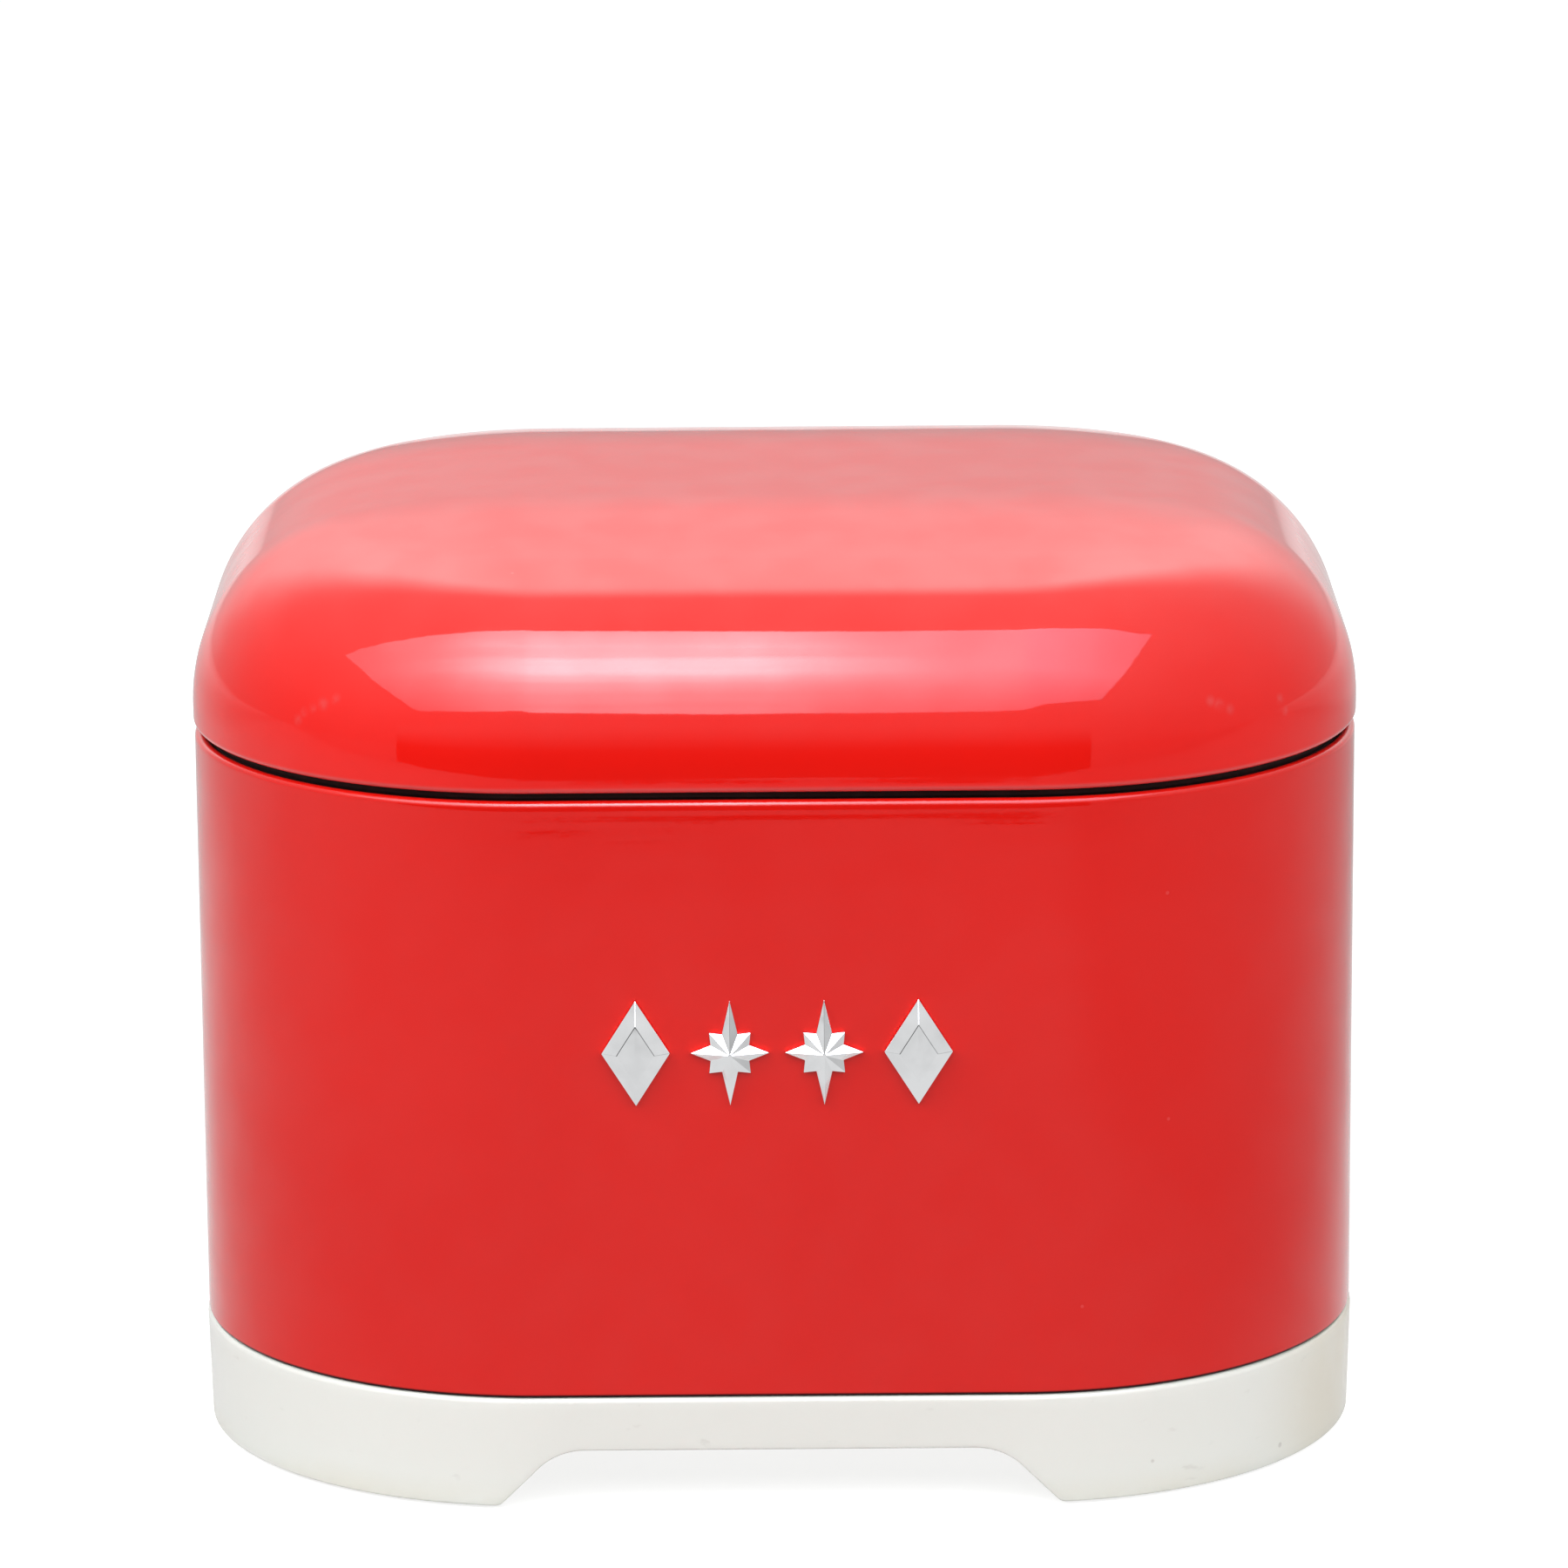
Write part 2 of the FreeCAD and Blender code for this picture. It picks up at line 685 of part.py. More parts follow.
def lozenge_points():
    """Corners of a lozenge round its middle."""
    wide = size["lozenge_half_width"]
    tall = size["badge_half_height"]
    return [(wide, 0), (0, tall), (-wide, 0), (0, -tall)]


def star_points():
    """Corners of an eight-ray starburst: long upright rays, short slanting ones."""
    reach = {0: size["star_half_width"], 90: size["badge_half_height"]}
    points = []
    for angle in range(0, 360, 45):
        ray = reach.get(angle % 180, size["star_short_ray"])
        for turn, length in ((angle, ray), (angle + 22.5, size["star_root"])):
            cosine = math.cos(math.radians(turn))
            sine = math.sin(math.radians(turn))
            points.append((0 if abs(cosine) < 1e-9 else length * cosine,
                           0 if abs(sine) < 1e-9 else length * sine))
    return points


def scaled(points, factor):
    return [tuple(value * factor if isinstance(value, Dim) else 0 for value in point)
            for point in points]


def make_badge(label, middle, points, tiers):
    """Faceted ornament: an upright edge, tiers of facets in front and two pins behind."""
    body = new_body(label)
    base = new_sketch(body, "edge_outline", "XZ_Plane")
    draw_loop(base, [to(*point) for point in points])
    add_pad(body, "edge", base, size["badge_edge"])

    level = size["badge_edge"]
    lower = new_sketch(body, "facet_outline", "XZ_Plane", level)
    draw_loop(lower, [to(*point) for point in points])
    for factor, height in tiers:
        level = level + height
        upper = new_sketch(body, "facet_outline", "XZ_Plane", level)
        draw_loop(upper, [to(*point) for point in scaled(points, factor)])
        facets = body.newObject("PartDesign::AdditiveLoft", "facets")
        facets.Profile = lower
        facets.Sections = [upper]
        facets.Ruled = True
        lower = upper

    pins = new_sketch(body, "pin_plan", "XZ_Plane")
    for side in SIDES:
        draw_circle(pins, (0, size["pin_half_pitch"] * side), size["pin_radius"])
    add_pad(body, "pins", pins, steel + size["pin_length"], reverse=True)
    place(body, middle, -half_depth, size["badge_level"])
    return body


def group(label, members):
    """Several like pieces that share one name."""
    compound = doc.addObject("Part::Compound", label)
    compound.Label = label
    compound.Links = members
    return compound


CORNERS = [
    ("front_left", -1, -1),
    ("front_right", 1, -1),
    ("back_left", -1, 1),
    ("back_right", 1, 1),
]

pieces = [
    make_lid_shell(),
    make_lid_collar(),
    make_lid_seal(),
    make_body_wall(),
    make_body_bottom(),
    make_plinth(),
]
for corner, side_x, side_y in CORNERS:
    pieces.append(make_foot(f"foot_{corner}", side_x, side_y))

lozenge_tiers = [(0.56, size["badge_step"]), (0.06, size["lozenge_peak"])]
star_tiers = [(0.06, size["star_peak"])]
left_outer, left_inner, right_inner, right_outer = badge_places()
pieces.append(make_badge("badge_lozenge_left", left_outer, lozenge_points(), lozenge_tiers))
pieces.append(make_badge("badge_star_left", left_inner, star_points(), star_tiers))
pieces.append(make_badge("badge_star_right", right_inner, star_points(), star_tiers))
pieces.append(make_badge("badge_lozenge_right", right_outer, lozenge_points(), lozenge_tiers))

push_nuts = []
for number, middle in enumerate(badge_places(), start=1):
    for row, side in (("lower", -1), ("upper", 1)):
        push_nuts.append(make_push_nut(f"push_nut_{number}_{row}", middle, side))
pieces.append(group("badge_push_nuts", push_nuts))
pieces.append(group("plinth_screws", [make_screw(f"screw_{c}", x, y) for c, x, y in CORNERS]))
pieces.append(group("weld_nuts", [make_weld_nut(f"nut_{c}", x, y) for c, x, y in CORNERS]))

doc.recompute()

faults = [item.Name for item in doc.Objects if {"Invalid", "Error"} & set(item.State)]
if faults:
    raise RuntimeError("objects in error: " + ", ".join(faults))
for piece in pieces:
    if piece.Shape.isNull() or not piece.Shape.isValid():
        raise RuntimeError("bad shape: " + piece.Label)

os.makedirs("parts", exist_ok=True)
for piece in pieces:
    piece.Shape.exportStep(f"parts/{piece.Label}.step")
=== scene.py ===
"""Surfaces, finishes and studio of a domed cake tin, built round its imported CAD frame."""

import math

import bpy
import numpy as np
from bpy.props import FloatProperty, FloatVectorProperty, PointerProperty
from mathutils import Matrix, Vector


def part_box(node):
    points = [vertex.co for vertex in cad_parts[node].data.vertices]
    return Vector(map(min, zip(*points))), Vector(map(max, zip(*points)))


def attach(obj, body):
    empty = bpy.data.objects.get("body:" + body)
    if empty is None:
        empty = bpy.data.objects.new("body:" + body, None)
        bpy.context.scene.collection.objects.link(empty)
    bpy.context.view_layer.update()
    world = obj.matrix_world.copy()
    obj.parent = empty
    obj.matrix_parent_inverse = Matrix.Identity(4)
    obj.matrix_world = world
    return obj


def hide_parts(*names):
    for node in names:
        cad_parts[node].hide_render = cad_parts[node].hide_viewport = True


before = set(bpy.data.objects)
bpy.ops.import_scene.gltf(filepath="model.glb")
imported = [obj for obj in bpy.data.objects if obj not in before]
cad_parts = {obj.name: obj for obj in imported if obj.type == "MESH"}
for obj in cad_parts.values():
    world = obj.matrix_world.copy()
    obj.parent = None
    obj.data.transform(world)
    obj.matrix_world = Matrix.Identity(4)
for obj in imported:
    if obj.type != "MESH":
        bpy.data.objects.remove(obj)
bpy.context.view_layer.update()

bl_info = {
    "name": "Domed Cake Tin",
    "version": (1, 0, 0),
    "blender": (4, 5, 0),
    "location": "View3D > Sidebar > Cake Tin",
    "description": "Builds the surfaces, finishes and studio of a domed cake tin",
    "category": "Object",
}

MM = 0.001
MITRE = math.tan(math.radians(22.5))
DIAGONAL = math.sqrt(0.5)
SHARP_EDGE = math.radians(38)
ORNAMENT_SHARP = math.radians(8)
ORNAMENT_BEVEL = math.radians(12)
TOUCHING = 1e-6
SAME_POINT = 1e-8
WALL_LOW, WALL_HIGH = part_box("body_wall")
LID_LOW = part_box("lid_shell")[0]
PLINTH_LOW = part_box("plinth")[0]


def length(name, metres, description):
    """A size of the tin, shown in scene units."""
    return FloatProperty(name=name, description=description, default=metres, min=0.0,
                         precision=5, unit="LENGTH")


def level(name, value, description):
    """A brightness of the studio, where 1 is white."""
    return FloatProperty(name=name, description=description, default=value, min=0.0,
                         subtype="FACTOR", soft_max=10.0)


def colour(name, value, description):
    """A colour of a finish."""
    return FloatVectorProperty(name=name, description=description, default=value, size=3,
                               min=0.0, max=1.0, subtype="COLOR")


class TinSizes(bpy.types.PropertyGroup):
    """Sizes of the tin's sections and plan."""

    body_width: length("Body width", WALL_HIGH.x - WALL_LOW.x, "Body across, left to right")
    body_depth: length("Body depth", WALL_HIGH.y - WALL_LOW.y, "Body across, front to back")
    corner_radius: length("Corner radius", 85 * MM, "Plan corners of the body")
    steel: length("Steel", 0.6 * MM, "Sheet of the body and lid")
    plinth_edge: length("Plinth edge", PLINTH_LOW.z, "Lower edge of the plinth")
    plinth_top: length("Plinth top", WALL_LOW.z, "Ledge that carries the body")
    rim: length("Rim", WALL_HIGH.z, "Top of the body's rolled rim")
    curl_radius: length("Rim curl", 1.5 * MM, "Rolled rim of the body")
    hem_depth: length("Hem", 4.0 * MM, "Fold at the bottom of the wall")
    hem_gap: length("Hem gap", 0.9 * MM, "Room for the panel flange in the fold")
    lap_width: length("Lap", 6.0 * MM, "Lap of the wall's back seam")
    seam_depth: length("Seam depth", 0.12 * MM, "Groove that the seam leaves outside")
    seam_spread: length("Seam spread", 0.22 * MM, "Reach of that groove to either side")
    lid_edge: length("Lid edge", LID_LOW.z, "Lower edge of the lid")
    lid_overhang: length("Lid overhang", 0.3 * MM, "Lid beyond the body at its widest")
    lip_height: length("Lip height", 3.5 * MM, "Lip below the lid's widest level")
    lip_tuck: length("Lip tuck", 0.02 * MM, "Lip drawn in at its lower edge")
    lip_round: length("Lip bend", 1.7 * MM, "Bend at the lid's lower edge")
    lip_flange: length("Lip flange", 5.0 * MM, "Inner edge of the turned-in lip")
    shoulder_radius: length("Lid shoulder", 46 * MM, "Shoulder of the lid in section")
    crown_rise: length("Crown rise", 3.7 * MM, "Rise of the lid top above the shoulder")
    core_inset: length("Middle", 84 * MM, "Inset where the flat middle plates begin")
    collar_face: length("Collar face", 5.6 * MM, "Inset of the collar's skirt")
    collar_taper: length("Collar taper", 3 * MM, "Tapered foot of the collar's skirt")
    collar_lead: length("Collar lead", 1 * MM, "How far the tapered foot leans in")
    flange_clearance: length("Flange clearance", 1.08 * MM, "Lip bend to the collar's flange")
    collar_drop: length("Collar drop", 10.55 * MM, "Collar skirt below the rim")
    seal_clearance: length("Seal clearance", 0.25 * MM, "Seal above the rim")
    seal_edge: length("Seal edge", 3 * MM, "Outer edge of the seal's flat leg")
    seal_drop: length("Seal drop", 6 * MM, "Upright leg of the seal below the rim")
    seal_wall: length("Seal wall", 1.4 * MM, "Upright leg of the seal")
    seal_bead: length("Seal bead", 0.6 * MM, "Round bead on that leg")
    panel_bend: length("Panel bend", 1.4 * MM, "Outside bend of the bottom panel")
    panel_lift: length("Panel lift", 0.6 * MM, "Panel underside above the fold")
    panel_border: length("Panel border", 18 * MM, "Flat border of the bottom panel")
    panel_raise: length("Panel raise", 2 * MM, "Raised field of the bottom panel")
    plinth_proud: length("Plinth proud", 0.3 * MM, "Plinth shoulder beyond the body")
    plinth_draft: length("Plinth draft", 0.7 * MM, "Plinth wall leaning in at its edge")
    plinth_wall: length("Plinth wall", 2.6 * MM, "Plinth wall thickness")
    shoulder_round: length("Plinth shoulder", 1.5 * MM, "Rounding of the plinth shoulder")
    shoulder_thick: length("Ledge", 2.4 * MM, "Ledge that carries the body")
    spigot_face: length("Spigot face", 2.4 * MM, "Inset of the ring inside the hem")
    spigot_wall: length("Spigot wall", 1.8 * MM, "Thickness of that ring")
    spigot_height: length("Spigot", 3.4 * MM, "Height of that ring")
    edge_round: length("Plinth edge round", 0.6 * MM, "Rounding of the plinth's lower edge")
    arch_rise: length("Arch rise", 14 * MM, "Height of the openings between the feet")
    front_arch_half: length("Front arch", 67.7 * MM, "Half width of the front and back openings")
    side_arch_half: length("Side arch", 38.5 * MM, "Half width of the side openings")
    arch_top_round: length("Arch top", 16 * MM, "Rounding at the top of an opening")
    arch_toe_round: length("Arch toe", 3 * MM, "Rounding at the foot of an opening")
    boss_radius: length("Boss", 8.5 * MM, "Screw boss in a plinth corner")
    foot_radius: length("Foot", 7 * MM, "Rubber foot under a boss")
    foot_clearance: length("Foot clearance", 0.5 * MM, "Foot to plinth wall")
    badge_level: length("Ornament level", 114.3 * MM, "Middle of the ornaments")
    badge_pitch: length("Ornament pitch", 22.4 * MM, "Ornament to ornament")
    badge_half_height: length("Ornament height", 13 * MM, "Half height of an ornament")
    lozenge_half_width: length("Lozenge width", 8.2 * MM, "Half width of a lozenge")
    star_half_width: length("Star width", 9.4 * MM, "Half width of a starburst")
    star_short_ray: length("Short ray", 7.0 * MM, "Slanting rays of a starburst")
    star_root: length("Star root", 5 * MM, "Notches of a starburst")
    badge_edge: length("Ornament edge", 1.2 * MM, "Upright edge of an ornament")
    pin_radius: length("Pin", 1.5 * MM, "Ornament pin")
    pin_end: length("Pin end", 3.6 * MM, "Pin behind the wall's outer face")
    pin_half_pitch: length("Pin pitch", 6 * MM, "Half distance of an ornament's pins")


class TinColours(bpy.types.PropertyGroup):
    """Colours of the tin's finishes."""

    enamel: colour("Enamel", (0.745, 0.0086, 0.0048), "Glossy red of the body")
    # A lighter red for the lid than for the body.
    enamel_lid_lighter: colour("Lid enamel", (0.85, 0.0086, 0.0048), "The lid's batch, a little brighter")
    enamel_deep: colour("Enamel shade", (0.72, 0.0074, 0.0042), "Where the red lies thicker")
    # Faint light scuffs, and also a painted highlight along the lid's lower edge.
    enamel_scuff_and_highlight: colour("Enamel scuff", (0.78, 0.07, 0.07), "Faint light scuffs in the red")
    # Painted shade: a near-black red for the joint above the plinth, where shade falls between body
    # and plinth.
    painted_joint_shade: colour("Grime", (0.020, 0.004, 0.005), "Dirt in the joint above the plinth")
    cream: colour("Cream", (0.905, 0.923, 0.875), "Moulded plinth")
    cream_aged: colour("Aged cream", (0.82, 0.775, 0.64), "Yellowed edge of the plinth")
    cream_mark: colour("Cream mark", (0.55, 0.53, 0.49), "Faint marks on the plinth")
    chrome: colour("Chrome", (0.83, 0.84, 0.85), "Plated ornaments")
    tinplate: colour("Tinplate", (0.66, 0.65, 0.62), "Lacquered inside of the tin")
    rubber: colour("Rubber", (0.014, 0.0055, 0.0055), "Seal and feet")
    zinc: colour("Zinc", (0.56, 0.57, 0.59), "Screws, nuts and washers")


class StudioSettings(bpy.types.PropertyGroup):
    """Camera and light levels of the studio."""

    camera_place: FloatVectorProperty(
        name="Camera", description="Where the camera stands", size=3, unit="LENGTH",
        default=(0.00118, -1.90888, 0.61414))
    camera_turn: FloatProperty(
        name="Turn", description="Camera turned right of straight back", unit="ROTATION",
        default=0.00052)
    camera_tilt: FloatProperty(
        name="Tilt", description="Camera tilted down", unit="ROTATION", default=0.23765)
    camera_roll: FloatProperty(
        name="Roll", description="Camera rolled clockwise", unit="ROTATION", default=0.00745)
    camera_lens: FloatProperty(
        name="Lens", description="Focal length on a 36 mm sensor", unit="CAMERA",
        default=180.0)
    key: level("Key", 2.38, "Soft key light on matt surfaces")
    side_left: level("Left side", 2.2, "Soft light from the left on matt surfaces")
    side_right: level("Right side", 2.1, "Soft light from the right on matt surfaces")
    back: level("Back", 1.3, "Soft light from behind on matt surfaces")
    panel: level("Panel", 1.38, "The soft box as gloss shows it")
    room: level("Room", 1.06, "Room light as gloss shows it")
    cards: level("Cards", 1.06, "Grey cards round the tin, seen by gloss alone")
    floor: colour("Floor", (0.57, 0.57, 0.57), "Floor under the studio light")
    floor_glow: level("Floor white", 0.72, "What lifts the floor to white near the tin")
    floor_far: level("Far white", 1.0, "What lifts the floor to white farther off")


def bow(inset, height, radius, start, end, steps):
    """An arc of a section.

    Its points are (inset - radius cos a, height + radius sin a), with a in degrees: 0 points out of
    the tin, 90 points up.
    """
    turn = np.radians(np.linspace(start, end, steps + 1))
    return np.stack([inset - radius * np.cos(turn), height + radius * np.sin(turn)], axis=-1)


def run(start, end, steps=1):
    """A straight part of a section: start plus a growing share of the way to end."""
    share = np.linspace(0.0, 1.0, steps + 1)[:, None]
    return np.array(start) + (np.array(end) - np.array(start)) * share


def join(*parts):
    """One section from consecutive parts, without the points that they share."""
    points = np.concatenate([np.atleast_2d(part) for part in parts])
    gaps = np.hypot(*np.diff(points, axis=0, prepend=points[-1:]).T)
    return points[gaps > SAME_POINT]


def soften(points, radius, steps=4, closed=False):
    """Rounds the corners of a section.

    Each corner P becomes the curve (1-t)^2 A + 2t(1-t) P + t^2 B, where A and B lie one radius away
    from P towards its neighbours.
    """
    points = np.array(points, float)
    if closed:
        before, corner, after = np.roll(points, 1, axis=0), points, np.roll(points, -1, axis=0)
    else:
        before, corner, after = points[:-2], points[1:-1], points[2:]

    def towards(other):
        gap = other - corner
        return (corner + gap / np.linalg.norm(gap, axis=1, keepdims=True) * radius)[:, None]

    t = np.linspace(0.0, 1.0, steps + 1)[None, :, None]
    curve = (1 - t) ** 2 * towards(before) + 2 * t * (1 - t) * corner[:, None]
    curve = (curve + t ** 2 * towards(after)).reshape(-1, 2)
    return curve if closed else np.concatenate([points[:1], curve, points[-1:]])


def plan_runs(sizes):
    """Half length and half depth of the plan's middle rectangle, and the nine runs round it."""
    radius = sizes.corner_radius
    across = sizes.body_width / 2 - radius
    along = sizes.body_depth / 2 - radius
    quarter = radius * math.pi / 2
    runs = [along, quarter, 2 * across, quarter, 2 * along, quarter, 2 * across, quarter, along]
    return across, along, np.concatenate([[0.0], np.cumsum(runs)])


def plan_columns(sizes, straight_step, corner_step, extra=()):
    """Lengths along the plan, evenly spaced in each run, with any extra ones sorted in."""
    knots = plan_runs(sizes)[2]
    steps = np.where(np.arange(9) % 2 == 0, straight_step, corner_step)
    counts = np.ceil(np.diff(knots) / steps).astype(int)
    parts = [np.linspace(low, high, count, endpoint=False)
             for low, high, count in zip(knots, knots[1:], counts)]
    return np.unique(np.concatenate([*parts, np.array(extra, float)]))


def plan_at(sizes, columns):
    """Points of the tin's plan and their outward directions, at lengths along it.

    The plan is a small rectangle, walked anticlockwise from the middle of its right side and pushed
    out by the corner radius: on a straight run the rectangle's point moves and the direction holds,
    at a corner the point holds and the direction makes a quarter turn.
    """
    a, b, knots = plan_runs(sizes)
    middle = np.stack([np.interp(columns, knots, [a, a, a, -a, -a, -a, -a, a, a, a]),
                       np.interp(columns, knots, [0, b, b, b, b, -b, -b, -b, -b, 0])], axis=-1)
    turn = np.interp(columns, knots, np.radians([0, 0, 90, 90, 180, 180, 270, 270, 360, 360]))
    outward = np.stack([np.cos(turn), np.sin(turn)], axis=-1)
    return middle + sizes.corner_radius * outward, outward


def carry(plan, inset, height):
    """A section carried round the plan.

    Each point is the plan's point minus the inset times its outward direction, at the section's
    height; inset and height may differ from column to column.
    """
    outline, outward = plan
    shape = (len(inset), len(outline))
    inset = np.broadcast_to(inset, shape)[..., None]
    height = np.broadcast_to(height, shape)[..., None]
    return np.concatenate([outline - inset * outward, height], axis=-1)


def carry_section(plan, section):
    """A section of (inset, height) points carried round the plan unchanged."""
    return carry(plan, section[:, :1], section[:, 1:])


def turned(section, middle=(0.0, 0.0), columns=48):
    """A section of (radius, height) points turned round an upright axis.

    Each point is the axis plus radius times (cos a, sin a), at the section's height.
    """
    turn = np.linspace(0.0, 2 * math.pi, columns, endpoint=False)
    circle = np.stack([np.cos(turn), np.sin(turn)], axis=-1)
    flat = np.array(middle) + section[:, None, :1] * circle
    height = np.broadcast_to(section[:, None, 1:], flat.shape[:2] + (1,))
    return np.concatenate([flat, height], axis=-1)


class Skin:
    """Points and faces of one piece, gathered from grids whose columns close on themselves."""

    def __init__(self):
        self.points = []
        self.faces = []
        self.finishes = []
        self.count = 0

    def add_points(self, points):
        first = self.count
        self.points.append(points.reshape(-1, 3))
        self.count += len(self.points[-1])
        return first

    def add_faces(self, faces, finish):
        self.faces.extend(faces.tolist())
        self.finishes.append(np.broadcast_to(finish, len(faces)))

    def add_grid(self, grid, ring=False, finish=0, first_pole=None, last_pole=None):
        """Adds a grid of points.

        Face corners run (row, column), (row, next), (next row, next), (next row, column). A ring's
        last row joins its first. A pole closes an end with triangles to one point. The finish is a
        material number for all faces, or one for each row.
        """
        rows, columns = grid.shape[:2]
        first = self.add_points(grid)
        low = np.arange(rows if ring else rows - 1)[:, None]
        left = np.arange(columns)[None]
        high = (low + 1) % rows
        right = (left + 1) % columns
        corners = np.broadcast_arrays(low * columns + left, low * columns + right,
                                      high * columns + right, high * columns + left)
        finish = np.broadcast_to(finish, rows)
        self.add_faces(first + np.stack(corners, axis=-1).reshape(-1, 4),
                       np.repeat(finish[:len(low)], columns))
        left, right = left[0], right[0]
        if first_pole is not None:
            tip = np.full(columns, self.add_points(np.array([first_pole], float)))
            self.add_faces(np.stack([tip, first + right, first + left], axis=-1), finish[0])
        if last_pole is not None:
            tip = np.full(columns, self.add_points(np.array([last_pole], float)))
            last = first + (rows - 1) * columns
            self.add_faces(np.stack([last + left, last + right, tip], axis=-1), finish[-1])

    def make(self, name, materials, body, nodes, sharp=SHARP_EDGE):
        """Makes the object, which rides on a CAD body and stands for CAD nodes."""
        mesh = bpy.data.meshes.new(name)
        mesh.from_pydata(np.concatenate(self.points), [], self.faces)
        for material in materials:
            mesh.materials.append(material)
        finishes = np.concatenate(self.finishes).astype(np.int32)
        mesh.polygons.foreach_set("material_index", finishes)
        mesh.shade_smooth()
        mesh.set_sharp_from_angle(angle=sharp)
        if mesh.validate():
            raise RuntimeError(f"{name} has faulty faces")
        piece = bpy.data.objects.new(name, mesh)
        bpy.context.scene.collection.objects.link(piece)
        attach(piece, body)
        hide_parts(*nodes)
        return piece


def plated(grid, shares):
    """A grid whose first and last rows are continued to flat plates.

    The added rows are the end row's plan times each share, at the end row's height.
    """
    scale = np.array([[1.0, 1.0, 0.0]]) * np.array(shares)[:, None] + np.array([[0.0, 0.0, 1.0]])
    first = grid[:1] * scale[::-1, None]
    last = grid[-1:] * scale[:, None]
    return np.concatenate([first, grid, last])


class Nodes:
    """Adds nodes to one tree, with patterns laid out on one texture coordinate."""

    def __init__(self, tree, coordinate):
        self.tree = tree
        self.tree.nodes.clear()
        self.place = self.node("ShaderNodeTexCoord").outputs[coordinate]

    def node(self, kind, settings=(), **inputs):
        """Adds a node; an input given as a socket is linked, any other is set."""
        node = self.tree.nodes.new(kind)
        for name, value in dict(settings).items():
            setattr(node, name, value)
        for name, value in inputs.items():
            self.feed(node.inputs[name.replace("_", " ")], value)
        return node

    def feed(self, socket, value):
        if isinstance(value, bpy.types.NodeSocket):
            self.tree.links.new(value, socket)
        else:
            socket.default_value = value

    def stretched(self, scale):
        """The coordinate multiplied along each axis."""
        return self.node("ShaderNodeMapping", Vector=self.place, Scale=scale).outputs["Vector"]

    def noise(self, scale, detail=2.0, place=None):
        return self.node("ShaderNodeTexNoise", Vector=place or self.place, Scale=scale,
                         Detail=detail).outputs["Fac"]

    def cells(self, scale, output="Distance"):
        return self.node("ShaderNodeTexVoronoi", Vector=self.place, Scale=scale).outputs[output]

    def span(self, value, low, high, to_low=0.0, to_high=1.0, smooth=True):
        """The value moved from one range to another and held within it."""
        kind = "SMOOTHSTEP" if smooth else "LINEAR"
        return self.node("ShaderNodeMapRange", {"interpolation_type": kind}, Value=value,
                         From_Min=low, From_Max=high, To_Min=to_low,
                         To_Max=to_high).outputs["Result"]

    def maths(self, operation, first, second=0.0):
        node = self.node("ShaderNodeMath", {"operation": operation})
        self.feed(node.inputs[0], first)
        self.feed(node.inputs[1], second)
        return node.outputs[0]

    def vectors(self, operation, first, second=(0.0, 0.0, 0.0)):
        node = self.node("ShaderNodeVectorMath", {"operation": operation})
        self.feed(node.inputs[0], first)
        self.feed(node.inputs[1], second)
        return node.outputs

    def axis(self, name):
        return self.node("ShaderNodeSeparateXYZ", Vector=self.place).outputs[name]

    def stops(self, value, marks, top=1.0):
        """A ramp through (value, brightness) marks, as a share of the top brightness."""
        first, last = marks[0][0], marks[-1][0]
        share = self.node("ShaderNodeMapRange", Value=value, From_Min=first, From_Max=last)
        ramp = self.node("ShaderNodeValToRGB", Fac=share.outputs["Result"])
        elements = ramp.color_ramp.elements
        for place, _ in marks[2:]:
            elements.new((place - first) / (last - first))
        for element, (place, bright) in zip(elements, marks):
            element.position = (place - first) / (last - first)
            element.color = (*[bright / top] * 3, 1.0)
        return ramp.outputs["Color"]

    def blend(self, share, first, second):
        """A colour between two others."""
        node = self.node("ShaderNodeMix", {"data_type": "RGBA"})
        self.feed(node.inputs[0], share)
        for socket, value in ((node.inputs[6], first), (node.inputs[7], second)):
            is_socket = isinstance(value, bpy.types.NodeSocket)
            self.feed(socket, value if is_socket else (*value, 1.0))
        return node.outputs[2]

    def bump(self, height, distance, normal=None):
        node = self.node("ShaderNodeBump", Strength=1.0, Distance=distance, Height=height)
        if normal is not None:
            self.feed(node.inputs["Normal"], normal)
        return node.outputs["Normal"]

    def near(self, spot, reach):
        """1 at a spot, falling to 0 at the reach."""
        gap = self.vectors("DISTANCE", self.place, spot)["Value"]
        return self.span(gap, 0.0, reach, 1.0, 0.0)


class Finish(Nodes):
    """A node material under construction, with patterns laid out on the piece itself."""

    def __init__(self, name):
        self.material = bpy.data.materials.new(name)
        self.material.use_nodes = True
        super().__init__(self.material.node_tree, "Object")

    def surface(self, **inputs):
        """Ends the material with a Principled surface."""
        shader = self.node("ShaderNodeBsdfPrincipled", **inputs)
        self.node("ShaderNodeOutputMaterial", Surface=shader.outputs[0])
        return self.material


def finish_once(name, build):
    """The finished material of that name, made the first time it is asked for."""
    return bpy.data.materials.get(name) or build(Finish(name))


# Faint scuffs on the lid's front corners: where each one is and how far it reaches.
SMUDGES = (((-0.1097, -0.0955, 0.1944), 0.0020), ((-0.1071, -0.0971, 0.1957), 0.0024),
           ((-0.1039, -0.0987, 0.1972), 0.0020), ((-0.1133, -0.0934, 0.1910), 0.0020),
           ((-0.1117, -0.0943, 0.1931), 0.0018), ((0.1033, -0.0998, 0.1954), 0.0020),
           ((0.1054, -0.0988, 0.1941), 0.0024), ((0.1080, -0.0973, 0.1928), 0.0020),
           ((0.1207, -0.0857, 0.1923), 0.0022), ((0.1219, -0.0851, 0.1895), 0.0018))


